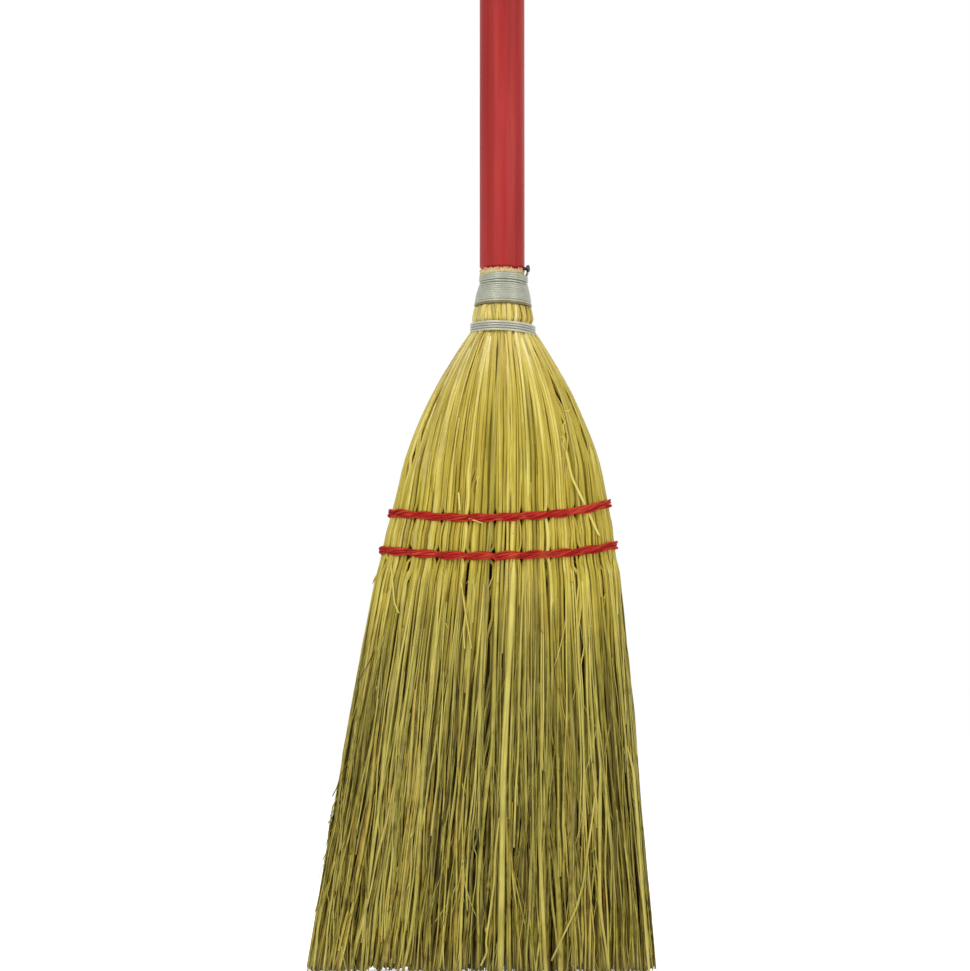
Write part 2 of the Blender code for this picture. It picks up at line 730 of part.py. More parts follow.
def twine_stitches(name, row):
    """The twine sewn through the fan: up across a lock in front, through, down behind, through again."""
    over = 4 * CLEARANCE + TWINE_DIAMETER + TWINE_RADIUS
    low, high = row - PASS_OFFSET, row + PASS_OFFSET

    def front(index, rise, out):
        return on_rim(mix(low, high, rise), gap_share(index), -out)

    def back(index, rise, out):
        return on_rim(mix(low, high, rise), 0.5 - gap_share(index), -out)

    points = [back(0, 0, EMERGE + TWINE_DIAMETER)]
    for index in range(FRONT_LOCKS):
        points += [back(index, 0, EMERGE), front(index, 0, -DIVE_DEPTH), front(index, 0, EMERGE)]
        points += [front(index + share, share, over) for share in (LEAN_SHARE, 0.5, 1 - LEAN_SHARE)]
        points += [front(index + 1, 1, EMERGE), front(index + 1, 1, -DIVE_DEPTH), back(index + 1, 1, EMERGE)]
        if index + 1 < FRONT_LOCKS:
            points += [back(index + 1, rise, over) for rise in (1 - LEAN_SHARE, LEAN_SHARE)]
    points.append(back(FRONT_LOCKS, 1, EMERGE + TWINE_DIAMETER))
    tube(name, points, TWINE_DIAMETER, twine_red)


for old in list(bpy.data.objects):
    bpy.data.objects.remove(old)

broom = bpy.data.objects.new("broom", None)
bpy.context.scene.collection.objects.link(broom)
red_lacquer = material("red_lacquer", RED_LACQUER, 0.3)
straw_yellow = material("straw_yellow", STRAW_YELLOW, 0.75)
straw_olive = material("straw_olive", STRAW_OLIVE, 0.8)
galvanised = material("galvanised_wire", GALVANISED, 0.4, 1)
dark_steel = material("dark_steel", DARK_STEEL, 0.5, 1)
twine_red = material("twine_red", TWINE_RED, 0.9)

straw_lengths = random.Random(TRIM_SEED)
handle()
nail()
inner_bundles(straw_lengths)
cover(straw_lengths)
inner_wire()
binding_wire()
twine_wrap("upper_twine_wrap", UPPER_ROW)
twine_stitches("upper_twine_stitches", UPPER_ROW)
twine_wrap("lower_twine_wrap", LOWER_ROW)
twine_stitches("lower_twine_stitches", LOWER_ROW)
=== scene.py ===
"""Looks of the lobby broom: every straw, wire, twine and finish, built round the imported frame.

Metres, +Z up. The tips stand on z = 0, the handle's axis is the Z axis and the broom faces -Y.
A straw's place is a share of the way round the head, from the front's middle towards +X, and a depth.
"""

import math
from collections import namedtuple

import bpy
import numpy as np
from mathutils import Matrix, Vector


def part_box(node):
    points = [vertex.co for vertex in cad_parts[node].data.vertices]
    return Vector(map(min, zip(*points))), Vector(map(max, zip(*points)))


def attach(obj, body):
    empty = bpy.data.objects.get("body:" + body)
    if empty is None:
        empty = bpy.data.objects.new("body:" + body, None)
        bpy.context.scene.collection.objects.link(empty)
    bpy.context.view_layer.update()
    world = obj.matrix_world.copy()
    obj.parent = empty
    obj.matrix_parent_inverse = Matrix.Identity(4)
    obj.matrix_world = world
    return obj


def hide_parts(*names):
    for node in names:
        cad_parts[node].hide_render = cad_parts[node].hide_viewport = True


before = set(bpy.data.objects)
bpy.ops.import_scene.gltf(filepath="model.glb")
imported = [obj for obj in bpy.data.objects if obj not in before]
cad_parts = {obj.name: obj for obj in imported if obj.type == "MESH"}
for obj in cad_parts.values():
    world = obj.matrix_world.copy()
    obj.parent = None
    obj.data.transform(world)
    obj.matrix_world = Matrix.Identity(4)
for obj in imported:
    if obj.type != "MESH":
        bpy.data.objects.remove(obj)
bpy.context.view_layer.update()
rng = np.random.default_rng(11)
MM_PER_METRE = 1000
WHITE = (1, 1, 1)

# Camera at the photograph's view, and the studio
CAMERA_OFFSET = -0.0074
CAMERA_DISTANCE = 1.5
CAMERA_HEIGHT = 0.105
CAMERA_TILT = math.radians(3.91)
CAMERA_REACH = 60
SENSOR_WIDTH = 36.0
LENS = 129.9
LIGHT_TARGET = (0, 0, 0.3)
LIGHTS = (
    ("key", (-1.1, -1.6, 1.5), 1.2, 21),
    ("fill", (1.4, -1.4, 0.7), 1.2, 11),
    ("rim", (0.4, 1.4, 1.6), 1.0, 10),
)
SKY = (0.96, 0.98, 1)
SKY_STRENGTH = 0.45
FLOOR_REACH = 12.0
FLOOR_COLOUR = (0.86, 0.86, 0.87)
FLOOR_GLOW = 0.62

# Sizes taken from the frame
HANDLE_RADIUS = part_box("handle")[1].x
NECK_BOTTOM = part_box("binding_wire")[0].z
TRIM_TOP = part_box("cover_front_1")[1].z
LEFT_TIP_REACH = -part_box("cover_left_edge")[0].x
RIGHT_TIP_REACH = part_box("cover_right_edge")[1].x
TIP_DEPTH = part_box("cover_back_1")[1].y

# Heights on the head
UPPER_ROW = NECK_BOTTOM - 0.0756
LOWER_ROW = UPPER_ROW - 0.0169
ROOT_HEIGHT = LOWER_ROW - 0.0126
SHOULDER_HEIGHT = NECK_BOTTOM - 0.0280
LOWER_TOP = NECK_BOTTOM + 0.0045
UPPER_BOTTOM = NECK_BOTTOM + 0.0117
UPPER_TOP = NECK_BOTTOM + 0.0260

# Shape of the head
NECK_RADIUS = 0.0125
NECK_LOW_BULGE = 0.0136
NECK_HIGH_BULGE = 0.0125
NECK_TUCK = 0.0009
CONE_LOW_RADIUS = 0.0112
CONE_TOP_RADIUS = 0.0092
TRIM_THICKNESS = 0.0001
UNDER_WIRE = 0.00045
FLARE_RADIUS = 0.0143
FLARE_SLOPE_SHARE = 0.72
LEFT_ROOT_REACH = 0.0550
RIGHT_ROOT_REACH = 0.0508
SHOULDER_DEPTH = 0.0160
ROW_DEPTH = 0.0130
LEAST_DEPTH = 0.0002
ROW_HALF = 0.0034
ROW_PINCH = 0.0009
ROW_REACH = 0.0100
CINCH_REACH = 0.0220
UPPER_SAG = 0.0044
LOWER_SAG = 0.0039
UPPER_TILT = 0.0021
LOWER_TILT = 0.0011
LEFT_SAG_POWER = 2.0
RIGHT_SAG_POWER = 3.5
SAG_FADE = 0.0420

# Locks: the bunches between two stitches
FRONT_LOCKS = 6
LOCK_PITCH = 0.0113
STITCHED_LOCKS = 8
LOCK_SHIFT = 0.18
LOCK_SQUEEZE = 0.030
LOCK_NOTCH = 0.0011
LOCK_POWER = 3
HOLD_BELOW = 0.020
HOLD_BETWEEN = 0.5
HOLD_ABOVE = 0.011
STITCH_SQUEEZE = 0.30
STITCH_POWER = 8
STITCH_REACH = 0.0048
EDGE_START = 3.0
EDGE_SINK = 0.0003

# Slits between bunches on the front, in millimetres: half width, and the line as (x, height) down the fan
SLIT_REACH = 0.0032
SLIT_FADE = 0.010
SLITS = (
    (0.9, ((-4.5, 186), (-5.6, 141.5), (-6.2, 107), (-6.6, 80))),
    (0.8, ((29.9, 186), (32.1, 158.7), (33.4, 141.5), (35, 118))),
    (0.6, ((-38, 186), (-41.4, 155), (-44, 140))),
    (0.6, ((-14, 186), (-15.2, 160), (-15.8, 150))),
    (0.5, ((18.3, 186), (19.2, 165), (20, 150))),
    (0.6, ((40.8, 184), (43.2, 160), (45.5, 140))),
    (1.3, ((-12.8, 219), (-12.2, 210), (-12.4, 201))),
    (0.8, ((20, 256.7), (23.9, 244.7), (26.1, 231.8), (28.6, 218.9), (33.8, 206))),
    (0.6, ((-23, 256.7), (-33, 231.8), (-39.7, 215.4), (-44, 204))),
    (0.5, ((25, 253), (33, 232), (40, 214))),
    (0.9, ((-71.2, 42), (-75, 27), (-78.5, 10))),
    (0.8, ((-60, 33), (-61.2, 23), (-62.2, 13))),
    (0.8, ((-69, 90), (-71.2, 72), (-74, 52))),
    (0.8, ((-11, 66), (-11.8, 48), (-12.5, 30))),
)

# Kinds of straw: how many, the rings and sides of each, its width and least and most share of it,
# how far it sways, and the middle and spread of its tone
Kind = namedtuple("Kind", "count rings sides width least most sway tone spread")
STALK = Kind(210, 58, 6, 0.00120, 0.55, 1.5, 0.0036, 0.60, 0.17)
# The under layer's lower tone is painted shade for lying under the stalks
UNDER_STALK = Kind(230, 50, 6, 0.0015, 0.8, 1.4, 0.0032, 0.50, 0.14)
BRANCH = Kind(950, 28, 5, 0.0011, 0.5, 1.7, 0.0034, 0.60, 0.24)
FINE_STRAW = Kind(320, 28, 4, 0.00075, 0.6, 1.4, 0.0030, 0.82, 0.14)
SPRIG = Kind(2000, 9, 4, 0.00062, 0.6, 1.5, 0, 0.12, 0.18)
HUSK = Kind(1500, 4, 5, 0.0010, 0.4, 1.0, 0, 0, 0)
CURL = Kind(200, 26, 4, 0.00042, 0.7, 1.4, 0.0050, 0.78, 0.15)
# The inner straw's low tone is painted shade: it is the cover's straw, lying in shadow inside
INNER_STRAW = Kind(420, 20, 5, 0.0024, 0.8, 1.3, 0.0035, 0.22, 0.12)
TRIMMED_END = Kind(300, 6, 4, 0.0008, 0.5, 1.0, 0.0008, 0.6, 0.2)
FLATNESS = 0.82

# How all straws lie
NECK_WIDENING = 1.22
NECK_WIDENING_RUN = 0.008
NECK_LEAN = 0.0024
NECK_LEAN_RUN = 0.006
TIP_TRIM = 0.0027
TIP_WAVES = ((9, 1.0), (23, 2.6), (41, 0.4))
TIP_WAVE = 0.0034
EARLY_TIPS = 0.2
EARLY_TRIM = 2.5 * TIP_TRIM
WORN_TIPS = 0.0032
WORN_PLACE = -0.124
WORN_REACH = 0.024
HELD_FREEDOM = 0.2
FREE_DROP = LOWER_ROW * 0.95
DRIFT_WAVES = ((0.240, 0.68), (0.095, 0.26), (0.036, 0.07))
DRIFT_STRETCHES = (0.8, 1.3)
SWELLING_RUNS = (0.018, 0.040)
FALL_RUN = 0.15

# Stalks, in groups that come up between each other below the neck, and the layer under them
NECK_GROUPS = 3
STALK_JITTER = 0.35
STALK_INSET = 0.0004
STALK_LAYER = 0.0009
STALK_STRAY = 0.0016
STALK_DEPTH_SWAY = 0.0012
STALK_SWELLING = 0.10
GROUP_INSET = 0.0005
GROUP_DROP = 0.006
EMERGE_SPREAD = 0.008
EMERGE_RUN = 0.016
THICK_TIP_SHARE = 0.25
THICK_TIP = 1.15
THIN_TIP = 0.7
TIP_TAPER = 0.8
UNDER_JITTER = 0.45
UNDER_INSET = 0.0016
UNDER_NECK_INSET = 0.0009
UNDER_SINK = 0.0004
UNDER_SINK_START = 0.035
UNDER_SINK_RUN = 0.03
UNDER_NECK_RUN = 0.002
UNDER_STRAY = 0.0034

# Branches and fine straws below the rows
HIGH_BRANCH_SHARE = 0.22
HIGH_BRANCHES = (LOWER_ROW, NECK_BOTTOM - 0.02)
LOW_BRANCHES = (0.070, LOWER_ROW - 0.002)
SLANT_SHARE = 0.10
SLANT = 0.0085
STRAIGHT_SLANT = 0.0024
BRANCH_STARTS = (0.0006, 0.0030)
BRANCH_DEPTHS = (-0.0002, 0.0085)
BRANCH_SWELLING = 0.2
# Painted shade: how much lower the tone of deep branches, and of branches at the right end, is
DEPTH_PAINTED_SHADE = 0.42
RIGHT_EDGE_PAINTED_SHADE = 0.30
EDGE_REACH = 0.07
HIGH_FINE_SHARE = 0.4
HIGH_FINE_STRAWS = (UPPER_ROW, NECK_BOTTOM - 0.01)
LOW_FINE_STRAWS = (0.05, LOWER_ROW)
FINE_LENGTHS = (0.05, 0.20)
FINE_SLANT = 0.0030
FINE_INSET = 0.0010
FINE_TIP_INSET = -0.0001
FINE_SINK = 0.0006

# What grows on the branches or crosses over them
SHOOT_REACH = 0.0014
SHOOT_MARGIN = 0.0003
SHOOT_LOWEST = 0.0004
SPRIG_LENGTHS = (0.010, 0.036)
SPRIG_FORKS = (0.12, 0.12)
SPRIG_LIFTS = (-0.02, 0.05)
SPRIG_TAPER = 0.6
HUSK_LENGTHS = (0.0014, 0.0042)
HUSK_FORKS = (0.32,)
HUSK_LIFTS = (0, 0.25)
HUSK_OFF = 0.0003
HUSK_SHAPE = (0.35, 1.0, 0.8, 0.15)
PALE_HUSK_SHARE = 0.35
PALE_HUSK_TONES = (0.85, 1)
HUSK_TONES = (0.3, 0.7)
CURL_TOPS = (0.03, LOWER_ROW - 0.010)
CURL_LENGTHS = (0.025, 0.080)
CURL_LOWEST = 0.001
CURL_SLANT = 0.0035
CURL_SIZE = 0.0011
CURL_RUN = 0.05
CURL_INSET = 0.0010
CURL_INSETS = (-0.0005, 0.0006)

# Straw inside the cover, and the cut ends above the wire
INNER_DROP = 0.0115
INNER_TRIM = 0.001
INNER_DEPTHS = (0.0042, 0.0150)
INNER_TOP_INSET = 0.0012
INNER_RUN = 0.045
TRIM_WAVES = (3, 7, 11, 17)
TRIM_RAGGED = 0.0008
TRIM_JITTER = 0.00015
TRIM_LOW = 0.0002
LOW_TRIM_PLACE = -0.2
LOW_TRIM_REACH = 0.2
TRIM_START = 0.0012
TRIM_INSET = 0.0003

# Odd straws on the front, in millimetres: width, flatness, tone, tint, and the line as (x, height, lift)
STRAY_RINGS = 40
STRAY_LOWEST = 0.0006
STRAY_NARROWEST = 0.9
STRAY_START = 0.35
STRAY_OPENING = 8
STRAYS = (
    (2.7, 0.25, 0.93, 0.5, ((5, 176, 0), (3.8, 150, 0.8), (1.8, 115.7, 1), (0.2, 81.3, 1), (-0.9, 0, 1))),
    (2.4, 0.3, 0.66, 0.5, ((21.5, 56, -1), (23.4, 34.5, 0.6), (24.5, 13, 0.8), (24.3, 0, 0.8))),
    (1.7, 0.45, 0.9, 0.5, ((15, 70, -1), (16.5, 36, 1), (18.3, 0, 1))),
    (0.9, 0.6, 0.95, 0.5, ((40, 81, 0), (34, 38, 1), (30.8, 27.5, 1), (20.5, 6, 1))),
    (1.5, 0.55, 0.98, 0.5, (
        (53, 96, 0), (54, 85.1, 2.2), (54.6, 70.1, 3), (55.6, 55, 3), (56.6, 39.7, 3), (57.6, 27.6, 3),
        (58.7, 12.5, 3), (59.9, 0, 2.8),
    )),
    (1.3, 0.6, 0.1, 0.5, ((51, 161, 0), (53.2, 137, 0), (56.3, 110.5, 0), (59.6, 60, 0))),
    (1.1, 0.6, 0.9, 0.5, ((47.4, 176, 0), (48.1, 164, 0.8), (48.7, 152, 0.4))),
    (0.9, 0.6, 1.0, 0.5, (
        (-1.4, 66, 1), (-3, 52, 1.4), (-3.5, 38.3, 1.4), (-7, 14.2, 1.4), (-6.6, 9.5, 1.6), (-9.2, 3.9, 1.4),
    )),
    (1.2, 0.55, 0.95, 0.5, (
        (26.8, 223, -0.6), (29.5, 210.3, 1), (34.2, 200.4, 0.8), (35.9, 197.4, -0.8), (41.1, 185.3, 0.4),
    )),
    (0.5, 0.8, 1.0, 0.5, ((27, 233.8, 0.2), (25.4, 232.4, 1.4), (25.8, 230.4, 1.4), (26.6, 229, 0.2))),
    (0.6, 0.8, 1.0, 0.5, ((25.2, 227.6, 0.2), (26.2, 226.2, 1.4), (25.6, 224, 1.4), (26.6, 221.5, 0.2))),
    (0.4, 0.8, 1.0, 0.5, ((26.2, 238.4, 0.2), (27.8, 238.6, 1), (28.8, 239.4, 0.2))),
    (0.5, 0.8, 1.0, 0.5, ((-11, 210.5, 0.2), (-10.6, 208, 1.2), (-11.2, 205, 0.2))),
    (1.4, 0.5, 0.8, 0.97, ((-53, 106, 0), (-56, 70, 0.8), (-60, 47, 0.4), (-64, 30, -0.6))),
    (1.3, 0.5, 0.85, 0.98, ((-37, 120, 0), (-39.2, 85, 0.8), (-40.5, 70, -0.8))),
    (1.2, 0.5, 0.75, 0.97, ((-65, 27, 0.2), (-67, 18, 1), (-69, 10, 0.2))),
    (1, 0.6, 0.7, 0.5, ((-69, 83, 0), (-70.6, 78, 0.2), (-72.4, 74.5, 0.2))),
    (0.8, 0.6, 0.6, 0.5, ((-71.5, 68, 0), (-72.8, 65, 0.2), (-74.2, 63, 0.2))),
    (0.8, 0.6, 0.8, 0.5, ((-74, 54, 0), (-75.2, 50, 0.2), (-76.4, 47.5, 0.2))),
    (0.5, 0.6, 0.96, 0.5, ((-14.4, 192.6, 0.2), (-11.5, 191.6, 1.6), (-8.3, 190.4, 1))),
    (0.9, 0.6, 1.0, 0.5, ((-18.7, 203.8, 0.4), (-18.4, 200, 1), (-18.2, 196.1, 0.6))),
    (0.7, 0.6, 0.95, 0.5, ((-47.5, 175.4, 0.2), (-45.7, 156.5, 1), (-44, 152.2, 1))),
    (0.7, 0.6, 0.92, 0.5, ((-17.8, 167.3, 0.2), (-15.7, 152.2, 1), (-13.1, 137.2, 0.6))),
    (0.7, 0.6, 0.92, 0.5, ((-15.7, 152.2, 0.8), (-16.5, 144, 1), (-16, 137.2, 0.6))),
)

# Wire
WIRE_DIAMETER = 0.0011
WIRE_RADIUS = WIRE_DIAMETER / 2
WIRE_SIDES = 10
TURN_POINTS = 56
LOWER_PITCHES = (1.1, 1.0, 1.0, 1.0)
LOWER_TURNS = len(LOWER_PITCHES) - 0.25
UPPER_PITCHES = (0.70, 1.15, 0.75, 0.70, 0.70, 0.75, 0.8, 0.9, 0.8, 0.85, 1.15, 1.3, 0.90, 0.90, 0.85)
LOWER_START = -0.0002
LOWER_OFFSET = 0.0003
TOP_OFFSET = 0.0006
SIDE_DROOP = 0.0006
LOWER_LEAN = 0.0004
PROUD_BOTTOM = UPPER_TOP - 0.0031
LEAD_START = math.radians(180)
LEAD_SWEEP = 150 / 360
NAIL_AZIMUTH = math.radians(-20)
TAIL_SWEEP = 34 / 360

# The radius of the wire's own line up the binding: neck, cone, and the proud turns at its top
WINDING_HEIGHTS = (
    NECK_BOTTOM,
    LOWER_TOP,
    UPPER_BOTTOM,
    UPPER_BOTTOM + 0.0055,
    PROUD_BOTTOM - 0.0006,
    PROUD_BOTTOM,
    UPPER_TOP,
)
WINDING_RADII = (0.0137, 0.0136, 0.0121, 0.0112, 0.0098, 0.0101, 0.0099)

# Twine
PLY_RADIUS = 0.00052
PLY_LAY = 2 * LOCK_PITCH
PLY_STEP = 0.0005
PLY_SIDES = 6
TWINE_SPREAD = 0.00078
TWINE_LENS = (0.55, 1.3)
EDGE_LENS = 0.8
ROW_PROUD = 0.4
LIFT_PROUD = 0.8
ROW_POINTS = 480
ROW_LINES = ((1, 0), (-1, 1.4), (0, 0.7))
STITCH_PHASE = 0.3
STITCH_POINTS = 28
STITCH_RISE = 0.0012
STITCH_DEPTH = 0.0030
STITCH_PROUD = 3.0
STITCH_BEND = 0.4
LOOSE_END = ((-3.6, 177.0, 0.2), (-3.5, 175.3, 1.4), (-2.2, 174.3, 1.4), (-1.2, 175.2, 0.6))

# The core's share of the inner straw, and the tubes' maps
CORE_SHARE = 0.07
LEAST_LENGTH = 1e-12
BAKE_STRIP = 0.9
BAKE_BOTTOM = 0.01
BAKE_RUN = 0.97
BAKE_CAPS = (0.008, 0.982)
BAKE_CAP_RISE = 0.006
LAY_SPREAD = 50
LAY_SCALE = 100

# Straw's looks: colours by tone, shares by height, and noises as scale, detail and stretch
NECK_STOPS = (
    (0.0, (0.34, 0.24, 0.040)),
    (0.35, (0.60, 0.455, 0.085)),
    (0.65, (0.86, 0.70, 0.195)),
    (1.0, (0.97, 0.86, 0.42)),
)
GOLDEN_STOPS = (
    (0.0, (0.260, 0.185, 0.017)),
    (0.35, (0.455, 0.355, 0.038)),
    (0.65, (0.640, 0.515, 0.070)),
    (1.0, (0.860, 0.740, 0.185)),
)
OLIVE_STOPS = (
    (0.0, (0.040, 0.028, 0.0060)),
    (0.35, (0.160, 0.127, 0.020)),
    (0.65, (0.335, 0.279, 0.045)),
    (1.0, (0.65, 0.56, 0.132)),
)
# Painted shade: the inner straw's colours, darkened for lying in shadow inside the head
INNER_PAINTED_SHADE_STOPS = (
    (0.0, (0.035, 0.024, 0.005)),
    (0.5, (0.17, 0.125, 0.022)),
    (1.0, (0.40, 0.32, 0.070)),
)
FRAYED_STOPS = (
    (0.0, (0.50, 0.48, 0.22)),
    (0.25, (0.80, 0.70, 0.38)),
    (0.65, (0.87, 0.57, 0.33)),
    (1.0, (0.80, 0.36, 0.22)),
)
FRAYED_SHADE = (0.50, 0.30, 0.08)
GOLDEN_SHARES = (
    (0.0, 0.50),
    (0.06, 0.24),
    (0.16, 0.08),
    (0.34, 0.03),
    (0.45, 0.14),
    (0.54, 0.38),
    (0.62, 0.85),
    (0.70, 1.0),
)
NECK_SHARES = ((0.78, 0.0), (0.90, 0.35), (0.96, 0.85), (1.0, 1.0))
GRAIN = (1, 2, (0.6, 0.40, 1))
GRAIN_SIZE = 0.34
PATCHES = (18, 2, (1, 1, 0.35))
PATCH_SIZE = 0.10
SPOTS = (1, 2, (0.9, 0.55, 1))
STREAKS = (1, 4, (7, 0.35, 1))
STREAK_STOPS = ((0.30, (0.60, 0.57, 0.46)), (0.52, 1.0), (0.75, (1.12, 1.12, 1.1)))
STREAK_SHARE = 0.85
FLECKS = (420, 3, (1, 1, 0.45))
FLECK_STOPS = ((0.36, (0.55, 0.52, 0.42)), (0.50, 1.0), (0.68, (1.22, 1.20, 1.15)))
BROWN_MARKS = (1, 3, (2.5, 3.0, 1))
MARK_BROWN = (0.22, 0.135, 0.035)
# Painted light: straw nearest the floor lifted paler for the light bounced off the floor
TIP_PAINTED_LIGHT = 0.24
TIP_PAINTED_LIGHT_COLOUR = (0.40, 0.36, 0.19)
NECK_SIDE_TONES = (0.001, 0.003, 0.13, -0.11)
DRY_SPECULAR = 0.2

# Straws of odd colours: shares by tint, shares by spots, and the colour
ODD_COLOURS = (
    ((0.83, 0.92, 0, 0.52), (0.42, 0.62), (0.56, 0.33, 0.060)),
    ((0.17, 0.08, 0, 0.42), (0.42, 0.62), (0.30, 0.33, 0.06)),
    ((0.22, 0.28, 0.36, 0), (0.55, 0.40), (0.27, 0.21, 0.115)),
)

# Looks of the lacquer, the nail and the twine
LACQUER_STOPS = ((0.30, (0.32, 0.017, 0.013)), (0.5, (0.41, 0.022, 0.019)), (0.72, (0.47, 0.035, 0.030)))
LACQUER_RUNS = (260, 3, (1, 1, 0.045))
LACQUER_BLOTS = (60, 3, (1, 1, 0.3))
THICK_RUN = ((0.10, 0.0), (0.18, 0.55), (0.27, 0.55), (0.36, 0.0))
THICK_LACQUER = (0.31, 0.016, 0.012)
BLOT_LACQUER = (0.32, 0.016, 0.014)
STEEL_STOPS = ((0.4, (0.012, 0.011, 0.010)), (0.62, (0.045, 0.040, 0.035)), (0.80, (0.20, 0.18, 0.16)))
TWINE_STOPS = ((0.3, (0.20, 0.005, 0.006)), (0.5, (0.47, 0.021, 0.013)), (0.72, (0.72, 0.080, 0.042)))
TWINE_FIBRES = (1, 4, (5, 1.2, 1))
# Paler patches: part wear, part painted highlight
WORN_AND_HIGHLIGHT_TWINE = (0.78, 0.12, 0.052)

# Looks of the wire: zinc, and the tints along the start of its run, one turn of them painted shadow
ZINC_STOPS = ((0.3, (0.375, 0.385, 0.308)), (0.7, (0.445, 0.455, 0.370)))
ZINC_FILM = (0.42, 0.44, 0.31)
PALE_ZINC = (0.59, 0.59, 0.42)
PURPLE_ZINC = (0.43, 0.41, 0.38)
# Painted shadow colour, on the upper winding's lowest turn where it overhangs the straw
SHADOW_PAINTED_ZINC = (0.16, 0.14, 0.050)
WIRE_RUN = 60
WIRE_TURN_TINTS_AND_SHADOW = (
    (0.125, (0.55, 0.55, 0.38)),
    (0.158, PURPLE_ZINC),
    (0.418, PURPLE_ZINC),
    (0.452, PALE_ZINC),
    (0.577, PALE_ZINC),
    # Painted shadow: the upper winding's lowest turn
    (0.602, SHADOW_PAINTED_ZINC),
    (0.693, SHADOW_PAINTED_ZINC),
    (0.718, (0.50, 0.42, 0.29)),
)
WIRE_TURN_TINT_AND_SHADOW_SHARES = ((0.560, 0.6), (0.602, 0.9), (0.693, 0.9), (0.727, 0.6), (0.827, 0.6), (0.860, 0.0))


def mix(first, second, share):
    """The first at a share of 0, the second at 1."""
    return first + (second - first) * share


def ease(share):
    """A smooth step from 0 to 1."""
    share = np.clip(share, 0, 1)
    return share * share * (3 - 2 * share)


def wrapped(share):
    """A share of the way round as -0.5 to 0.5, with 0 in the front's middle."""
    return (share + 0.5) % 1 - 0.5


NECK_HEIGHTS = (
    NECK_BOTTOM,
    LOWER_TOP,
    LOWER_TOP + NECK_TUCK,
    UPPER_BOTTOM - NECK_TUCK,
    UPPER_BOTTOM,
    UPPER_TOP,
    TRIM_TOP,
)
NECK_RADII = (
    NECK_RADIUS,
    NECK_RADIUS,
    NECK_LOW_BULGE,
    NECK_HIGH_BULGE,
    CONE_LOW_RADIUS,
    CONE_TOP_RADIUS,
    HANDLE_RADIUS + TRIM_THICKNESS,
)
CINCH_HEIGHTS = (
    ROOT_HEIGHT,
    LOWER_ROW - ROW_HALF,
    LOWER_ROW + ROW_HALF,
    (UPPER_ROW + LOWER_ROW) / 2,
    UPPER_ROW - ROW_HALF,
    UPPER_ROW + ROW_HALF,
    UPPER_ROW + CINCH_REACH,
)
CINCH_SHARES = (0, 1, 1, 0.6, 1, 1, 0)


def side_reach(height, root_reach, tip_reach):
    """How far a side of the fan reaches from the handle's axis: straight to the tips, curved to the neck."""
    run = NECK_BOTTOM - ROOT_HEIGHT
    t = np.clip((NECK_BOTTOM - height) / run, 0, 1)
    start_slope = FLARE_SLOPE_SHARE * run
    end_slope = (tip_reach - root_reach) / ROOT_HEIGHT * run
    curved = (
        FLARE_RADIUS * (2 * t**3 - 3 * t**2 + 1)
        + start_slope * (t**3 - 2 * t**2 + t)
        + root_reach * (3 * t**2 - 2 * t**3)
        + end_slope * (t**3 - t**2)
    )
    straight = mix(tip_reach, root_reach, height / ROOT_HEIGHT)
    return np.where(height <= ROOT_HEIGHT, straight, curved)


def cinch(height):
    """How tightly the stitches draw the straw in: 1 in a row, 0 away from the rows."""
    return ease(np.interp(height, CINCH_HEIGHTS, CINCH_SHARES))


def fan_depth(height):
    """Half of the fan's thickness."""
    down = np.clip((NECK_BOTTOM - height) / (NECK_BOTTOM - SHOULDER_HEIGHT), 0, 1)
    neck = mix(NECK_RADIUS, SHOULDER_DEPTH, np.sin(down * math.pi / 2))
    rows = mix(ROW_DEPTH, SHOULDER_DEPTH, ease((height - UPPER_ROW) / (SHOULDER_HEIGHT - UPPER_ROW)))
    tips = mix(TIP_DEPTH, ROW_DEPTH, np.clip(height / ROOT_HEIGHT, 0, 1))
    return np.where(height >= SHOULDER_HEIGHT, neck, np.where(height >= ROOT_HEIGHT, rows, tips))


def section(height):
    """The head's section at a height: centre, half width, half depth."""
    left = side_reach(height, LEFT_ROOT_REACH, LEFT_TIP_REACH)
    right = side_reach(height, RIGHT_ROOT_REACH, RIGHT_TIP_REACH)
    pinch = ROW_PINCH * cinch(height)
    half_depth = fan_depth(height) - pinch
    half_width = np.maximum((right + left) / 2 - pinch, half_depth)
    neck = np.interp(height, NECK_HEIGHTS, NECK_RADII)
    in_neck = height >= NECK_BOTTOM
    return (
        np.where(in_neck, 0, (right - left) / 2),
        np.where(in_neck, neck, half_width),
        np.where(in_neck, neck, half_depth),
    )


def girth(height):
    """The distance round the head at a height."""
    half_width, half_depth = section(height)[1:]
    return 4 * (half_width - half_depth) + 2 * math.pi * half_depth


HEAD_ROUND = float(girth(np.array(UPPER_ROW)))
LOCK_SHARE = LOCK_PITCH / HEAD_ROUND


def sagged(x, height):
    """The height of a point of the fan, lowered by the sag of the stitch rows, which fades out round them."""
    centre, half_width = section(height)[:2]
    across = (x - centre) / half_width
    between = np.clip((height - LOWER_ROW) / (UPPER_ROW - LOWER_ROW), 0, 1)
    away = np.maximum(np.maximum(height - UPPER_ROW, LOWER_ROW - height), 0)
    fade = 1 - ease(away / SAG_FADE)
    sag = mix(LOWER_SAG, UPPER_SAG, between) * fade
    tilt = mix(LOWER_TILT, UPPER_TILT, between) * fade
    power = np.where(across > 0, RIGHT_SAG_POWER, LEFT_SAG_POWER)
    return height - sag * (1 - np.abs(across) ** power) + tilt * across


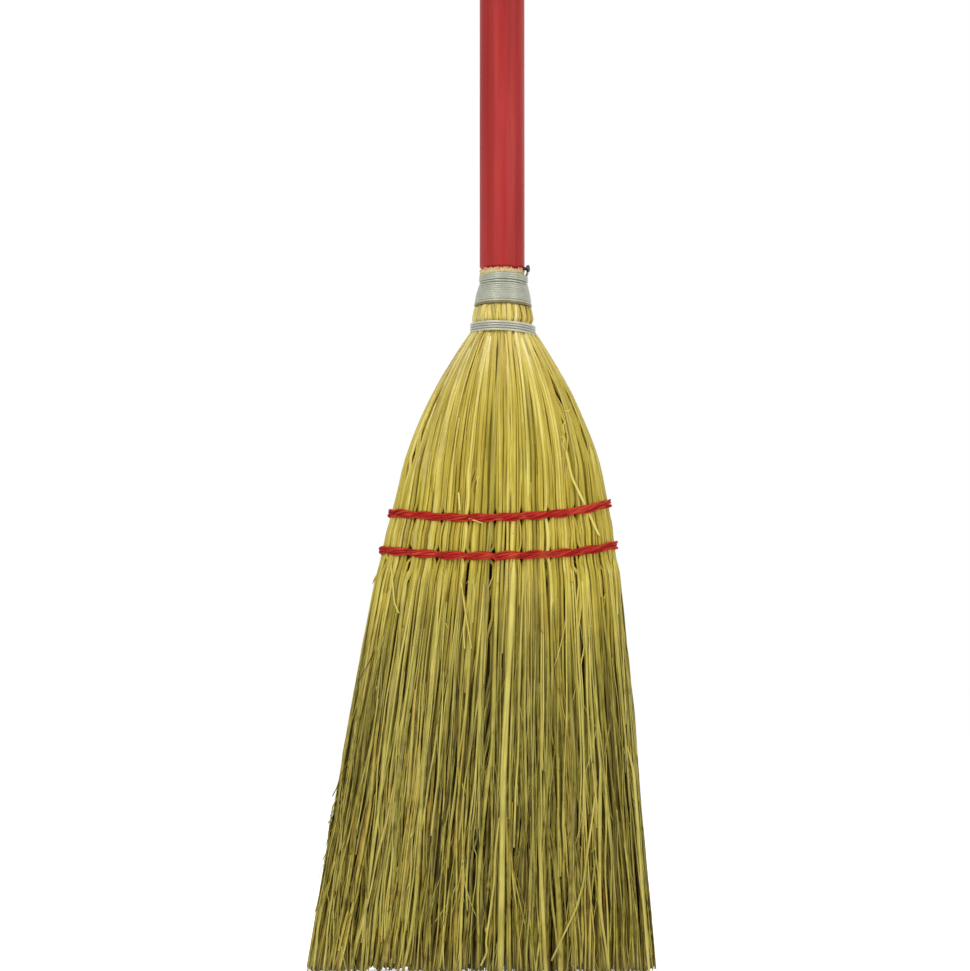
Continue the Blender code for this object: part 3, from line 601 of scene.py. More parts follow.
def on_rim(height, share, inset):
    """Points on the head and the directions out of it, at a height, a share of the way round and an inset."""
    centre, half_width, half_depth = section(height)
    straight = half_width - half_depth
    curve = math.pi * half_depth
    inner = np.maximum(half_depth - inset, LEAST_DEPTH)
    share = wrapped(share)
    side = np.where(share < 0, -1, 1)
    distance = np.abs(share) * (4 * straight + 2 * curve)
    angle = np.clip((distance - straight) / half_depth, 0, math.pi) - math.pi / 2
    past = np.maximum(distance - straight - curve, 0)
    x = centre + side * (np.minimum(distance, straight) - past + inner * np.cos(angle))
    y = inner * np.sin(angle)
    out = np.stack((side * np.cos(angle), np.sin(angle), np.zeros_like(angle)), -1)
    return np.stack((x, y, sagged(x, height)), -1), out


def hold(height):
    """How strongly the stitches gather straws into locks at a height: full in the rows, less around them."""
    middle = (LOWER_ROW + UPPER_ROW) / 2
    heights = (LOWER_ROW - HOLD_BELOW, LOWER_ROW, middle, UPPER_ROW, UPPER_ROW + HOLD_ABOVE)
    return ease(np.interp(height, heights, (0, 1, HOLD_BETWEEN, 1, 0)))


def face_place(share):
    """Where a share lies on its face, in locks from the face's middle."""
    share = wrapped(share)
    return np.where(np.abs(share) < 0.25, share, share - np.sign(share) * 0.5) / LOCK_SHARE


def lock_place(share):
    """Where a share lies among the stitches, at whole numbers, and whether stitches hold it there."""
    place = face_place(share) + LOCK_SHIFT
    return place, np.abs(place) < STITCHED_LOCKS / 2


def at_stitch(height):
    """1 level with the stitches of a row, 0 away from the rows."""
    away = np.minimum(np.abs(height - UPPER_ROW), np.abs(height - LOWER_ROW))
    return 1 - ease(away / STITCH_REACH)


def gathered(share, inset, height):
    """Share and inset as the stitches change them: each lock is squeezed together and its sides pulled in."""
    place, held = lock_place(share)
    off_middle = place - np.floor(place) - 0.5
    beside = 2 * np.abs(off_middle)
    near_stitch = np.where(held, hold(height), 0) * beside**LOCK_POWER
    parting = np.where(held, at_stitch(height), 0) * beside**STITCH_POWER
    squeeze = LOCK_SQUEEZE * near_stitch + STITCH_SQUEEZE * parting
    sink = EDGE_SINK * ease(np.abs(place) - EDGE_START) * cinch(height)
    return share - off_middle * squeeze * LOCK_SHARE, inset + LOCK_NOTCH * near_stitch + sink


# Heights from which a straw's rings are picked: from, to, and how many before the next run
MARK_MARGIN = 0.002
MARK_RUNS = (
    (TRIM_TOP + MARK_MARGIN, UPPER_BOTTOM, 4),
    (UPPER_BOTTOM, LOWER_TOP, 8),
    (LOWER_TOP, NECK_BOTTOM, 1),
    (NECK_BOTTOM, UPPER_ROW + ROW_REACH, 11),
    (UPPER_ROW + ROW_REACH, LOWER_ROW - ROW_REACH, 19),
    (LOWER_ROW - ROW_REACH, 0, 17),
)
MARKS = np.concatenate(
    [np.linspace(high, low, count, endpoint=False) for high, low, count in MARK_RUNS] + [(0,)]
)


def stations(top, tip, rings):
    """Heights down each straw from its top to its tip, closer together where the head bends."""
    order = np.arange(len(MARKS))
    first = np.interp(-top, -MARKS, order)[:, None]
    last = np.interp(-tip, -MARKS, order)[:, None]
    return np.interp(mix(first, last, np.linspace(0, 1, rings)), order, MARKS)


def freedom(height):
    """How far straws stray at a height: little down to the lower row, then more and more to 1 at the tips."""
    return mix(HELD_FREEDOM, 1, ease((LOWER_ROW - height) / FREE_DROP))


def ripples(height, runs):
    """A sine down each straw with a phase of its own, and a wavelength from a range."""
    phase = rng.uniform(0, 2 * math.pi, (len(height), 1))
    run = rng.uniform(*runs, (len(height), 1))
    return np.sin(2 * math.pi * height / run + phase)


def drift(height, size):
    """A smooth random sway down each straw, in metres, that grows with its freedom."""
    sway = np.zeros_like(height)
    for length, share in DRIFT_WAVES:
        sway += share * ripples(height, [length * stretch for stretch in DRIFT_STRETCHES])
    return size * freedom(height) * sway


def swelling(height, size):
    """How a straw's width varies along it, round 1."""
    return 1 + size * ripples(height, SWELLING_RUNS)


def parted(points):
    """Points of the front moved aside from the slits between bunches."""
    x, y, height = points[..., 0], points[..., 1], points[..., 2]
    moved = x.copy()
    for half_width, line in SLITS:
        line = np.array(line)[::-1] / MM_PER_METRE
        off = x - np.interp(height, line[:, 1], line[:, 0])
        inside = np.minimum(height - line[0, 1], line[-1, 1] - height)
        near = np.clip(1 - np.abs(off) / SLIT_REACH, 0, 1) * ease(inside / SLIT_FADE) * (y < 0)
        moved += np.where(off < 0, -1, 1) * half_width / MM_PER_METRE * near
    return np.stack((moved, y, height), -1)


def pressed(height):
    """1 under the wire's two windings, 0 elsewhere."""
    share = np.zeros_like(height)
    for low, high in ((NECK_BOTTOM, LOWER_TOP), (UPPER_BOTTOM, UPPER_TOP)):
        share += ease((height - low) / WIRE_DIAMETER + 0.5) * ease((high - height) / WIRE_DIAMETER + 0.5)
    return share


def strands(kind, height, share, inset, width, darker=0, flatness=FLATNESS):
    """Straws of a kind as one record: lines down the head with their widths and looks."""
    # darker lowers the tone; the branches pass painted shade through it
    tone = rng.normal(kind.tone, kind.spread, kind.count) - darker
    tint = rng.random(kind.count)
    share, inset = gathered(share, inset, height)
    points, out = on_rim(height, share, inset)
    thick = width / 2 * flatness
    return {
        "points": parted(points),
        "out": out,
        "wide": width / 2,
        "thick": mix(thick, np.minimum(thick, UNDER_WIRE), pressed(height)),
        "sides": kind.sides,
        "tone": np.clip(tone, 0, 1),
        "tint": tint,
        "place": share[:, share.shape[1] // 2],
        "inset": inset[:, -1],
    }


def widths(kind):
    """A random width for each straw of a kind, in a column."""
    return kind.width * rng.uniform(kind.least, kind.most, kind.count)[:, None]


def swayed(kind, share, height, aside=0):
    """The share of the way round that each straw has down its length, as it leans and sways."""
    return share[:, None] + (aside + drift(height, kind.sway)) / girth(height)


def spread_shares(count, jitter):
    """Shares evenly spaced round the head, each moved a little."""
    return (np.arange(count) + rng.uniform(-jitter, jitter, count)) / count


def random_tips(share):
    """Tip heights: most of the straws were cut level, some end early, and a patch on the left is worn."""
    count = len(share)
    early = rng.random(count) < EARLY_TIPS
    tip = np.where(early, rng.uniform(0, EARLY_TRIM, count), rng.uniform(0, TIP_TRIM, count))
    wave = sum(np.sin(2 * math.pi * waves * share + start) for waves, start in TIP_WAVES) / len(TIP_WAVES)
    worn = WORN_TIPS * ease(1 - np.abs(wrapped(share) - WORN_PLACE) / WORN_REACH)
    return tip + TIP_WAVE * np.maximum(wave, 0) + worn


def random_tops(kind, high_share, high_run, low_run):
    """Top heights: a share of the straws start in the high run, the others in the low one."""
    high = rng.uniform(*high_run, kind.count)
    return np.where(rng.random(kind.count) < high_share, high, rng.uniform(*low_run, kind.count))


def neck_lean(height):
    """How far straws lean aside in the neck, in metres."""
    lean = rng.normal(0, NECK_LEAN, len(height))[:, None]
    return lean * ease((height - NECK_BOTTOM + NECK_LEAN_RUN) / (UPPER_BOTTOM - NECK_BOTTOM + NECK_LEAN_RUN))


def neck_tops(to_the_top):
    """The top of each straw: at the top of the binding, or just inside its lower winding."""
    return np.where(to_the_top, UPPER_TOP - WIRE_DIAMETER, NECK_BOTTOM + WIRE_DIAMETER)


def stalks():
    """The outer stalks. One in three is outermost in the neck, and the others come up between them below."""
    count = STALK.count
    share = spread_shares(count, STALK_JITTER)
    group = np.arange(count) % NECK_GROUPS
    height = stations(neck_tops(group == 0), random_tips(share), STALK.rings)
    emerge = NECK_BOTTOM - group * GROUP_DROP - rng.uniform(0, EMERGE_SPREAD, count)
    rising = ease((height - emerge[:, None]) / EMERGE_RUN)
    layer = rng.uniform(0, STALK_LAYER, count)[:, None]
    strayed = STALK_STRAY * freedom(height) * rng.uniform(0, 1.5, (count, 1))
    inset = STALK_INSET + (group * GROUP_INSET)[:, None] * rising + layer * (1 - cinch(height)) + strayed
    inset = inset + drift(height, STALK_DEPTH_SWAY)
    width = widths(STALK) * swelling(height, STALK_SWELLING)
    tip_width = np.where(rng.random((count, 1)) < THICK_TIP_SHARE, THICK_TIP, THIN_TIP)
    width = width * mix(tip_width, 1, ease(height / (LOWER_ROW * TIP_TAPER)))
    in_neck = ease((height - NECK_BOTTOM + NECK_WIDENING_RUN) / NECK_WIDENING_RUN)
    width = width * mix(1, NECK_WIDENING, in_neck)
    return strands(STALK, height, swayed(STALK, share, height, neck_lean(height)), inset, width)


def under_stalks():
    """The layer that shows through the gaps between the outer stalks, its lower tone painted shade."""
    count = UNDER_STALK.count
    share = spread_shares(count, UNDER_JITTER)
    to_the_top = np.arange(count) % NECK_GROUPS == 0
    height = stations(neck_tops(to_the_top), random_tips(share), UNDER_STALK.rings)
    in_neck = ease((height - NECK_BOTTOM) / UNDER_NECK_RUN)
    below_neck = ease((height - NECK_BOTTOM + UNDER_SINK_START) / UNDER_SINK_RUN) * (1 - in_neck)
    strayed = UNDER_STRAY * freedom(height) * rng.uniform(0.3, 1.4, (count, 1))
    inset = mix(UNDER_INSET, UNDER_NECK_INSET, in_neck) + UNDER_SINK * below_neck + strayed
    width = widths(UNDER_STALK) * mix(0.65, 1, ease(height / LOWER_ROW))
    return strands(UNDER_STALK, height, swayed(UNDER_STALK, share, height), inset, width)


def branches():
    """Finer straws that stalks part into below the rows, with painted shade deep in and at the right end."""
    count = BRANCH.count
    share = rng.random(count)
    top = random_tops(BRANCH, HIGH_BRANCH_SHARE, HIGH_BRANCHES, LOW_BRANCHES)
    height = stations(top, random_tips(share), BRANCH.rings)
    fallen = (top[:, None] - height) / FALL_RUN
    slant = np.where(rng.random(count) < SLANT_SHARE, SLANT, STRAIGHT_SLANT)
    aside = (np.clip(rng.normal(0, 1, count), -2, 2) * slant)[:, None] * fallen
    start = rng.uniform(*BRANCH_STARTS, count)[:, None]
    deep = rng.uniform(*BRANCH_DEPTHS, count)
    inset = mix(start, deep[:, None], ease(freedom(height) * 1.2))
    width = widths(BRANCH) * swelling(height, BRANCH_SWELLING)
    width = width * mix(0.5, 1, ease(fallen * 3)) * mix(0.75, 1, ease(height / 0.1))
    share = swayed(BRANCH, share, height, aside)
    by_edge = ease(1 - np.abs(wrapped(share[:, -1]) - 0.25) / EDGE_REACH)
    # Painted shade: a lower tone deep in, and at the right end, which the light leaves in shade
    darker = DEPTH_PAINTED_SHADE * deep / BRANCH_DEPTHS[1] + RIGHT_EDGE_PAINTED_SHADE * by_edge
    return strands(BRANCH, height, share, inset, width, darker)


def fine_straws():
    """Thin pale straws that lie on the outside from the rows down, and a few from the neck down."""
    count = FINE_STRAW.count
    share = rng.random(count)
    top = random_tops(FINE_STRAW, HIGH_FINE_SHARE, HIGH_FINE_STRAWS, LOW_FINE_STRAWS)
    tip = np.maximum(top - rng.uniform(*FINE_LENGTHS, count), random_tips(share))
    height = stations(top, tip, FINE_STRAW.rings)
    fallen = (top[:, None] - height) / FALL_RUN
    aside = rng.normal(0, FINE_SLANT, count)[:, None] * fallen
    inset = mix(FINE_INSET, FINE_TIP_INSET, ease(freedom(height) * 2)) + FINE_SINK * cinch(height)
    width = widths(FINE_STRAW) * mix(0.5, 1, ease(fallen * 4))
    return strands(FINE_STRAW, height, swayed(FINE_STRAW, share, height, aside), inset, width)


def starts_on(parents, count):
    """Random starts below the rows on a record of strands: which strand, the point, along, across and out."""
    rings = parents["points"].shape[1]
    strand = rng.integers(0, len(parents["points"]), count)
    above = np.sum(parents["points"][strand, :, 2] > LOWER_ROW - STITCH_REACH, axis=1)
    ring = np.minimum(above + 2 + (rng.random(count) * (rings - above - 5)).astype(int), rings - 4)
    start = parents["points"][strand, ring]
    along = unit(parents["points"][strand, ring + 2] - start)
    out = parents["out"][strand, ring]
    return strand, start, along, unit(np.cross(along, out)), out


def front_line(line):
    """Points on the head's front along a line of (x, height, lift) in millimetres, and the directions out."""
    line = np.array(line) / MM_PER_METRE
    order = np.linspace(0, len(line) - 1, STRAY_RINGS)
    x, height, lift = (np.interp(order, np.arange(len(line)), line[:, axis]) for axis in range(3))
    for values in (x, height, lift):
        values[1:-1] = (values[:-2] + values[1:-1] + values[2:]) / 3
    centre, half_width, half_depth = section(height)
    beyond = np.clip(np.abs(x - centre) - (half_width - half_depth), 0, half_depth)
    angle = np.arcsin(beyond / half_depth) * np.sign(x - centre)
    out = np.stack((np.sin(angle), -np.cos(angle), np.zeros_like(angle)), -1)
    points = np.stack((x, -half_depth * np.cos(angle), np.maximum(height, STRAY_LOWEST)), -1)
    return points + lift[:, None] * out, out


def strays():
    """The odd straws that lie on top of the front."""
    width, flatness, tone, tint = np.array([stray[:4] for stray in STRAYS]).T
    points, out = zip(*(front_line(stray[4]) for stray in STRAYS))
    width = width[:, None] / MM_PER_METRE * mix(STRAY_NARROWEST, 1, rng.random((len(STRAYS), STRAY_RINGS)))
    width = width * np.minimum(1, STRAY_START + np.linspace(0, STRAY_OPENING, STRAY_RINGS))
    return {
        "points": np.stack(points),
        "out": np.stack(out),
        "wide": width / 2,
        "thick": width / 2 * flatness[:, None],
        "sides": STALK.sides,
        "tone": tone,
        "tint": tint,
        "place": np.stack(points)[:, 0, 0] / HEAD_ROUND,
        "inset": np.zeros(len(STRAYS)),
    }


def shoots(kind, parents, off, lengths, forks, lifts):
    """Lines of short strands on other strands: the strand each grows on, its points and the direction out."""
    strand, start, along, across, out = starts_on(parents, kind.count)
    column = (kind.count, 1, 1)
    length = rng.uniform(*lengths, column)
    t = np.linspace(0, 1, kind.rings)[None, :, None]
    aside = sum(rng.normal(0, fork, column) * t**power for power, fork in enumerate(forks))
    lift = rng.uniform(*lifts, column)
    way = along[:, None] + aside * across[:, None] + lift * out[:, None]
    return strand, start[:, None] + off * out[:, None] + way * length * t, out


def shoot_record(kind, parents, strand, points, out, width, tone):
    """A record of short strands, kept near the head."""
    points[..., 2] = np.maximum(points[..., 2], SHOOT_LOWEST)
    centre, half_width = section(points[..., 2])[:2]
    leftmost, rightmost = centre - half_width - SHOOT_REACH, centre + half_width - SHOOT_MARGIN
    points[..., 0] = np.clip(points[..., 0], leftmost, rightmost)
    return {
        "points": points,
        "out": np.repeat(out[:, None], kind.rings, axis=1),
        "wide": width / 2,
        "thick": width / 2 * FLATNESS,
        "sides": kind.sides,
        "tone": np.clip(tone, 0, 1),
        "tint": rng.random(kind.count),
        "place": parents["place"][strand],
        "inset": parents["inset"][strand],
    }


def sprigs(parents):
    """Short fine shoots that fork off the branches."""
    strand, points, out = shoots(SPRIG, parents, 0, SPRIG_LENGTHS, SPRIG_FORKS, SPRIG_LIFTS)
    width = widths(SPRIG) * (1 - SPRIG_TAPER * np.linspace(0, 1, SPRIG.rings))
    tone = parents["tone"][strand] + rng.normal(SPRIG.tone, SPRIG.spread, SPRIG.count)
    return shoot_record(SPRIG, parents, strand, points, out, width, tone)


def husks(parents):
    """Dry seed husks left along the branches: short bits, thick in the middle."""
    count = HUSK.count
    strand, points, out = shoots(HUSK, parents, HUSK_OFF, HUSK_LENGTHS, HUSK_FORKS, HUSK_LIFTS)
    width = widths(HUSK) * np.array(HUSK_SHAPE)
    pale = rng.random(count) < PALE_HUSK_SHARE
    tone = np.where(pale, rng.uniform(*PALE_HUSK_TONES, count), rng.uniform(*HUSK_TONES, count))
    return shoot_record(HUSK, parents, strand, points, out, width, tone)


def curls():
    """Thin dry fibres that curl and cross over the rest."""
    count = CURL.count
    share = rng.random(count)
    top = rng.uniform(*CURL_TOPS, count)
    tip = np.maximum(top - rng.uniform(*CURL_LENGTHS, count), CURL_LOWEST)
    height = stations(top, tip, CURL.rings)
    fallen = (top[:, None] - height) / CURL_RUN
    aside = rng.normal(0, CURL_SLANT, count)[:, None] * fallen
    curl = CURL_SIZE * np.sin(fallen * rng.uniform(2, 7, (count, 1)) + rng.uniform(0, 6, (count, 1)))
    inset = mix(CURL_INSET, rng.uniform(*CURL_INSETS, (count, 1)), ease(fallen * 2))
    width = widths(CURL) * mix(1, 0.5, ease(fallen))
    return strands(CURL, height, swayed(CURL, share, height, aside + curl), inset, width, flatness=1)


def inner_straws():
    """The straw inside the cover, which closes the fan against the light, dark with painted shade."""
    count = INNER_STRAW.count
    share = spread_shares(count, 0.5)
    top = np.full(count, NECK_BOTTOM - INNER_DROP)
    height = stations(top, random_tips(share) + INNER_TRIM, INNER_STRAW.rings)
    deep = rng.uniform(*INNER_DEPTHS, count)[:, None]
    inset = mix(deep * 0.25 + INNER_TOP_INSET, deep, ease((NECK_BOTTOM - height) / INNER_RUN))
    width = widths(INNER_STRAW) * mix(0.7, 1, ease(height / LOWER_ROW))
    return strands(INNER_STRAW, height, swayed(INNER_STRAW, share, height), inset, width)


def trimmed_ends():
    """The frayed ends of the cover straw, cut off round the handle above the wire."""
    count = TRIMMED_END.count
    share = spread_shares(count, 0.5)
    ragged = sum(np.sin(2 * math.pi * waves * share + waves) for waves in TRIM_WAVES) / len(TRIM_WAVES)
    low_left = TRIM_LOW * ease(1 - np.abs(wrapped(share) - LOW_TRIM_PLACE) / LOW_TRIM_REACH)
    jitter = rng.uniform(-TRIM_JITTER, TRIM_JITTER, count)
    top = TRIM_TOP - TRIM_LOW + TRIM_RAGGED * ragged - low_left + jitter
    height = mix(UPPER_TOP - TRIM_START, top[:, None], np.linspace(0, 1, TRIMMED_END.rings))
    rise = ease((height - UPPER_TOP) / (TRIM_TOP - UPPER_TOP))
    inset = rng.uniform(0, TRIM_INSET, count)[:, None] * rise
    width = widths(TRIMMED_END) * mix(1.2, 0.8, rise)
    share = share[:, None] + rng.normal(0, TRIMMED_END.sway, count)[:, None] * rise / girth(height)
    return strands(TRIMMED_END, height, share, inset, width)


def unit(vectors):
    """Vectors of length 1."""
    return vectors / np.maximum(np.linalg.norm(vectors, axis=-1, keepdims=True), LEAST_LENGTH)


def tubes(group):
    """Tube vertices, faces and maps for a record of strands: capped tubes along their lines."""
    points, sides = group["points"], group["sides"]
    count, rings = points.shape[:2]
    along = unit(np.gradient(points, axis=1))
    across = unit(np.cross(along, group["out"]))
    out = np.cross(across, along)
    angles = 2 * math.pi * np.arange(sides) / sides
    wide = group["wide"][..., None, None] * np.cos(angles)[:, None]
    thick = group["thick"][..., None, None] * np.sin(angles)[:, None]
    vertices = points[:, :, None] + wide * across[:, :, None] + thick * out[:, :, None]
    vertices[..., 2] = np.maximum(vertices[..., 2], 0)
    strand, ring, side = np.meshgrid(np.arange(count), np.arange(rings - 1), np.arange(sides), indexing="ij")
    first = (strand * rings + ring) * sides
    following = (side + 1) % sides
    quads = np.stack((first + side, first + sides + side, first + sides + following, first + following), -1)
    starts = np.arange(count)[:, None] * rings * sides
    caps = np.concatenate((starts + np.arange(sides), starts + (rings - 1) * sides + np.arange(sides)[::-1]))
    corner_ring = np.stack((ring, ring + 1, ring + 1, ring), -1)
    corner_side = np.stack((side, side, side + 1, side + 1), -1)
    strip = BAKE_STRIP / count
    quad_u = strand[..., None] / count + corner_side / sides * strip
    quad_v = BAKE_BOTTOM + BAKE_RUN * corner_ring / (rings - 1)
    rise = BAKE_CAP_RISE * np.sin(math.pi * np.arange(sides) / (sides - 1))
    cap_u = np.tile(np.arange(count)[:, None] / count + np.arange(sides) / sides * strip, (2, 1))
    cap_v = np.repeat((BAKE_CAPS[0] - rise, BAKE_CAPS[1] + rise), count, axis=0)
    steps = np.linalg.norm(np.diff(points, axis=1), axis=-1)
    lengths = np.concatenate((np.zeros((count, 1)), np.cumsum(steps, axis=1)), axis=1)
    seeds = rng.random(count) * LAY_SPREAD
    lay_u = seeds[strand][..., None] + corner_side / sides
    lay_v = lengths[strand[..., None], corner_ring] * LAY_SCALE
    cap_lay = np.tile(seeds[:, None], (2, sides))
    return {
        "vertices": vertices.reshape(-1, 3),
        "corners": np.concatenate((quads.reshape(-1), caps.reshape(-1))),
        "totals": np.concatenate((np.full(quads.size // 4, 4), np.full(2 * count, sides))),
        "bake": np.concatenate((map_pairs(quad_u, quad_v), map_pairs(cap_u, cap_v))),
        "lay": np.concatenate((map_pairs(lay_u, lay_v), map_pairs(cap_lay, np.zeros_like(cap_lay)))),
        "tone": np.repeat(group["tone"], rings * sides),
        "tint": np.repeat(group["tint"], rings * sides),
    }


def map_pairs(across, along):
    """Map coordinates, one pair a corner."""
    return np.stack((across, along), -1).reshape(-1, 2)


def picked(group, chosen):
    """The chosen strands of a record."""
    return {name: value if name == "sides" else value[chosen] for name, value in group.items()}


def joined(parts, name):
    """One kind of value from several tube meshes, end to end."""
    return np.concatenate([part[name] for part in parts])


def add_object(name, data):
    """A new object in the scene."""
    added = bpy.data.objects.new(name, data)
    bpy.context.scene.collection.objects.link(added)
    return added


def make_piece(name, parts, look, slot, *nodes):
    """One mesh object from several tube meshes, riding on the broom and standing for CAD nodes."""
    mesh = bpy.data.meshes.new(name)
    ends = np.cumsum([0] + [len(part["vertices"]) for part in parts])
    vertices, totals = joined(parts, "vertices"), joined(parts, "totals")
    corners = np.concatenate([part["corners"] + start for part, start in zip(parts, ends)])
    mesh.vertices.add(len(vertices))
    mesh.vertices.foreach_set("co", vertices.astype(np.float32).ravel())
    mesh.loops.add(len(corners))
    mesh.loops.foreach_set("vertex_index", corners.astype(np.int32))
    mesh.polygons.add(len(totals))
    mesh.polygons.foreach_set("loop_start", (np.cumsum(totals) - totals).astype(np.int32))
    mesh.update(calc_edges=True)
    bands = ends / ends[-1]
    bake = [part["bake"] * (high - low, 1) + (low, 0) for part, low, high in zip(parts, bands, bands[1:])]
    for layer, pairs in (("OFBake", np.concatenate(bake)), ("lay", joined(parts, "lay"))):
        mesh.uv_layers.new(name=layer).uv.foreach_set("vector", pairs.astype(np.float32).ravel())
    for mark in ("tone", "tint"):
        values = joined(parts, mark).astype(np.float32)
        mesh.attributes.new(mark, "FLOAT", "POINT").data.foreach_set("value", values)
    mesh.shade_smooth()
    mesh.materials.append(look)
    piece = add_object(name, mesh)
    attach(piece, "root")
    if nodes:
        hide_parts(*nodes)


def rgba(colour):
    """A colour, or a level of grey, with its alpha."""
    return (*colour, 1) if isinstance(colour, tuple) else (colour, colour, colour, 1)


def plug(tree, socket, value):
    """Links another node's output to an input, or sets the input's own value."""
    if isinstance(value, bpy.types.NodeSocket):
        tree.links.new(value, socket)
    else:
        socket.default_value = rgba(value) if socket.type == "RGBA" else value


def fill(tree, node, **values):
    """Fills a node's inputs by name, spaces in their names written as underscores."""
    for name, value in values.items():
        plug(tree, node.inputs[name.replace("_", " ")], value)
    return node


def add_node(tree, kind, *firsts, **values):
    """A shader node, its first inputs filled in order and others by name."""
    node = tree.nodes.new(kind)
    for socket, value in zip(node.inputs, firsts):
        plug(tree, socket, value)
    return fill(tree, node, **values)


def new_material(name):
    """A new material, its node tree and its shader."""
    made = bpy.data.materials.new(name)
    made.use_nodes = True
    return made, made.node_tree, made.node_tree.nodes["Principled BSDF"]


def add_ramp(tree, source, stops):
    """A colour ramp over a value, from (position, colour) stops."""
    ramp = add_node(tree, "ShaderNodeValToRGB", source)
    elements = ramp.color_ramp.elements
    while len(elements) < len(stops):
        elements.new(0.5)
    for element, (position, colour) in zip(elements, stops):
        element.position = position
        element.color = rgba(colour)
    return ramp.outputs[0]


def add_mix(tree, share, first, second, blend="MIX"):
    """A colour mix. share, first and second are sockets or fixed values."""
    node = tree.nodes.new("ShaderNodeMix")
    node.data_type = "RGBA"
    node.blend_type = blend
    for index, value in ((0, share), (6, first), (7, second)):
        plug(tree, node.inputs[index], value)
    return node.outputs[2]


def add_math(tree, operation, *values):
    """A sum on sockets or fixed values."""
    node = add_node(tree, "ShaderNodeMath", *values)
    node.operation = operation
    return node.outputs[0]


def add_reading(tree, name):
    """What each strand keeps under a name."""
    node = tree.nodes.new("ShaderNodeAttribute")
    node.attribute_name = name
    return node.outputs["Fac"]


def map_range(tree, source, low, high, to_low=0.0, to_high=1.0):
    """A value moved from one range to another and kept inside it."""
    limits = {"From_Min": low, "From_Max": high, "To_Min": to_low, "To_Max": to_high}
    return add_node(tree, "ShaderNodeMapRange", source, **limits).outputs[0]


def add_noise(tree, coordinates, scale, detail, stretch=(1, 1, 1)):
    """A noise over coordinates that are stretched first."""
    mapping = add_node(tree, "ShaderNodeMapping", coordinates, Scale=stretch)
    noise = add_node(tree, "ShaderNodeTexNoise", mapping.outputs[0], Scale=scale, Detail=detail)
    return noise.outputs["Fac"]


def place_on_broom(tree):
    """The place on the broom, in metres."""
    return tree.nodes.new("ShaderNodeTexCoord").outputs["Object"]


def place_on_strand(tree):
    """The place on a strand: the way round it, and the way along it in centimetres."""
    lay = tree.nodes.new("ShaderNodeUVMap")
    lay.uv_map = "lay"
    return lay.outputs[0]


def axis_of(tree, vector, axis):
    """One axis of a vector."""
    return add_node(tree, "ShaderNodeSeparateXYZ", vector).outputs[axis]


def add_bump(tree, shader, height, strength, distance):
    """A relief on a shader's surface."""
    bump = add_node(tree, "ShaderNodeBump", Strength=strength, Distance=distance, Height=height)
    fill(tree, shader, Normal=bump.outputs[0])


def shifted(tree, first, second, size):
    """A value plus another's distance from its middle, times a size."""
    return add_math(tree, "MULTIPLY_ADD", map_range(tree, second, 0.3, 0.7, -0.5, 0.5), size, first)


def neck_sides(tree, place):
    """A shift of tone from the bare band of the neck up, where straw is paler on the left; 0 below it."""
    band = map_range(tree, axis_of(tree, place, "Z"), LOWER_TOP - WIRE_RADIUS, LOWER_TOP + WIRE_RADIUS)
    return add_math(tree, "MULTIPLY", band, map_range(tree, axis_of(tree, place, "X"), *NECK_SIDE_TONES))


def straw_material(name, neck, golden, olive):
    """Dry broomcorn: pale at the neck, golden at the stitches, olive below, with streaks and brown marks."""
    made, tree, shader = new_material(name)
    place, lay = place_on_broom(tree), place_on_strand(tree)
    reading, tint = add_reading(tree, "tone"), add_reading(tree, "tint")
    up = map_range(tree, axis_of(tree, place, "Z"), 0, NECK_BOTTOM)
    tone = shifted(tree, reading, add_noise(tree, lay, *GRAIN), GRAIN_SIZE)
    warped = shifted(tree, up, add_noise(tree, place, *PATCHES), PATCH_SIZE)
    low, high = add_ramp(tree, tone, olive), add_ramp(tree, tone, golden)
    colour = add_mix(tree, add_ramp(tree, warped, GOLDEN_SHARES), low, high)
    neck_tone = add_math(tree, "ADD", tone, neck_sides(tree, place))
    colour = add_mix(tree, add_ramp(tree, warped, NECK_SHARES), colour, add_ramp(tree, neck_tone, neck))
    spots = add_noise(tree, lay, *SPOTS)
    for tints, parts, odd in ODD_COLOURS:
        share = add_math(tree, "MULTIPLY", map_range(tree, tint, *tints), map_range(tree, spots, *parts))
        colour = add_mix(tree, share, colour, odd)
    streaks = add_noise(tree, lay, *STREAKS)
    colour = add_mix(tree, STREAK_SHARE, colour, add_ramp(tree, streaks, STREAK_STOPS), "MULTIPLY")
    flecks = add_ramp(tree, add_noise(tree, place, *FLECKS), FLECK_STOPS)
    low_down = map_range(tree, up, 0.62, 0.30, 0.12, 0.85)
    flecked = add_math(tree, "MULTIPLY", low_down, map_range(tree, reading, 0.72, 0.92, 1, 0.2))
    colour = add_mix(tree, flecked, colour, flecks, "MULTIPLY")
    # Painted light: the straw nearest the floor mixed towards a paler colour for the floor's bounce light
    colour = add_mix(tree, map_range(tree, up, 0.05, 0, 0, TIP_PAINTED_LIGHT), colour, TIP_PAINTED_LIGHT_COLOUR)
    worn = map_range(tree, add_noise(tree, lay, *BROWN_MARKS), 0.68, 0.76, 0, 0.5)
    colour = add_mix(tree, worn, colour, MARK_BROWN)
    roughness = map_range(tree, streaks, 0.2, 0.8, 0.62, 0.42)
    fill(tree, shader, Base_Color=colour, Roughness=roughness, Specular_IOR_Level=DRY_SPECULAR)
    add_bump(tree, shader, streaks, 0.5, 0.0002)
    return made


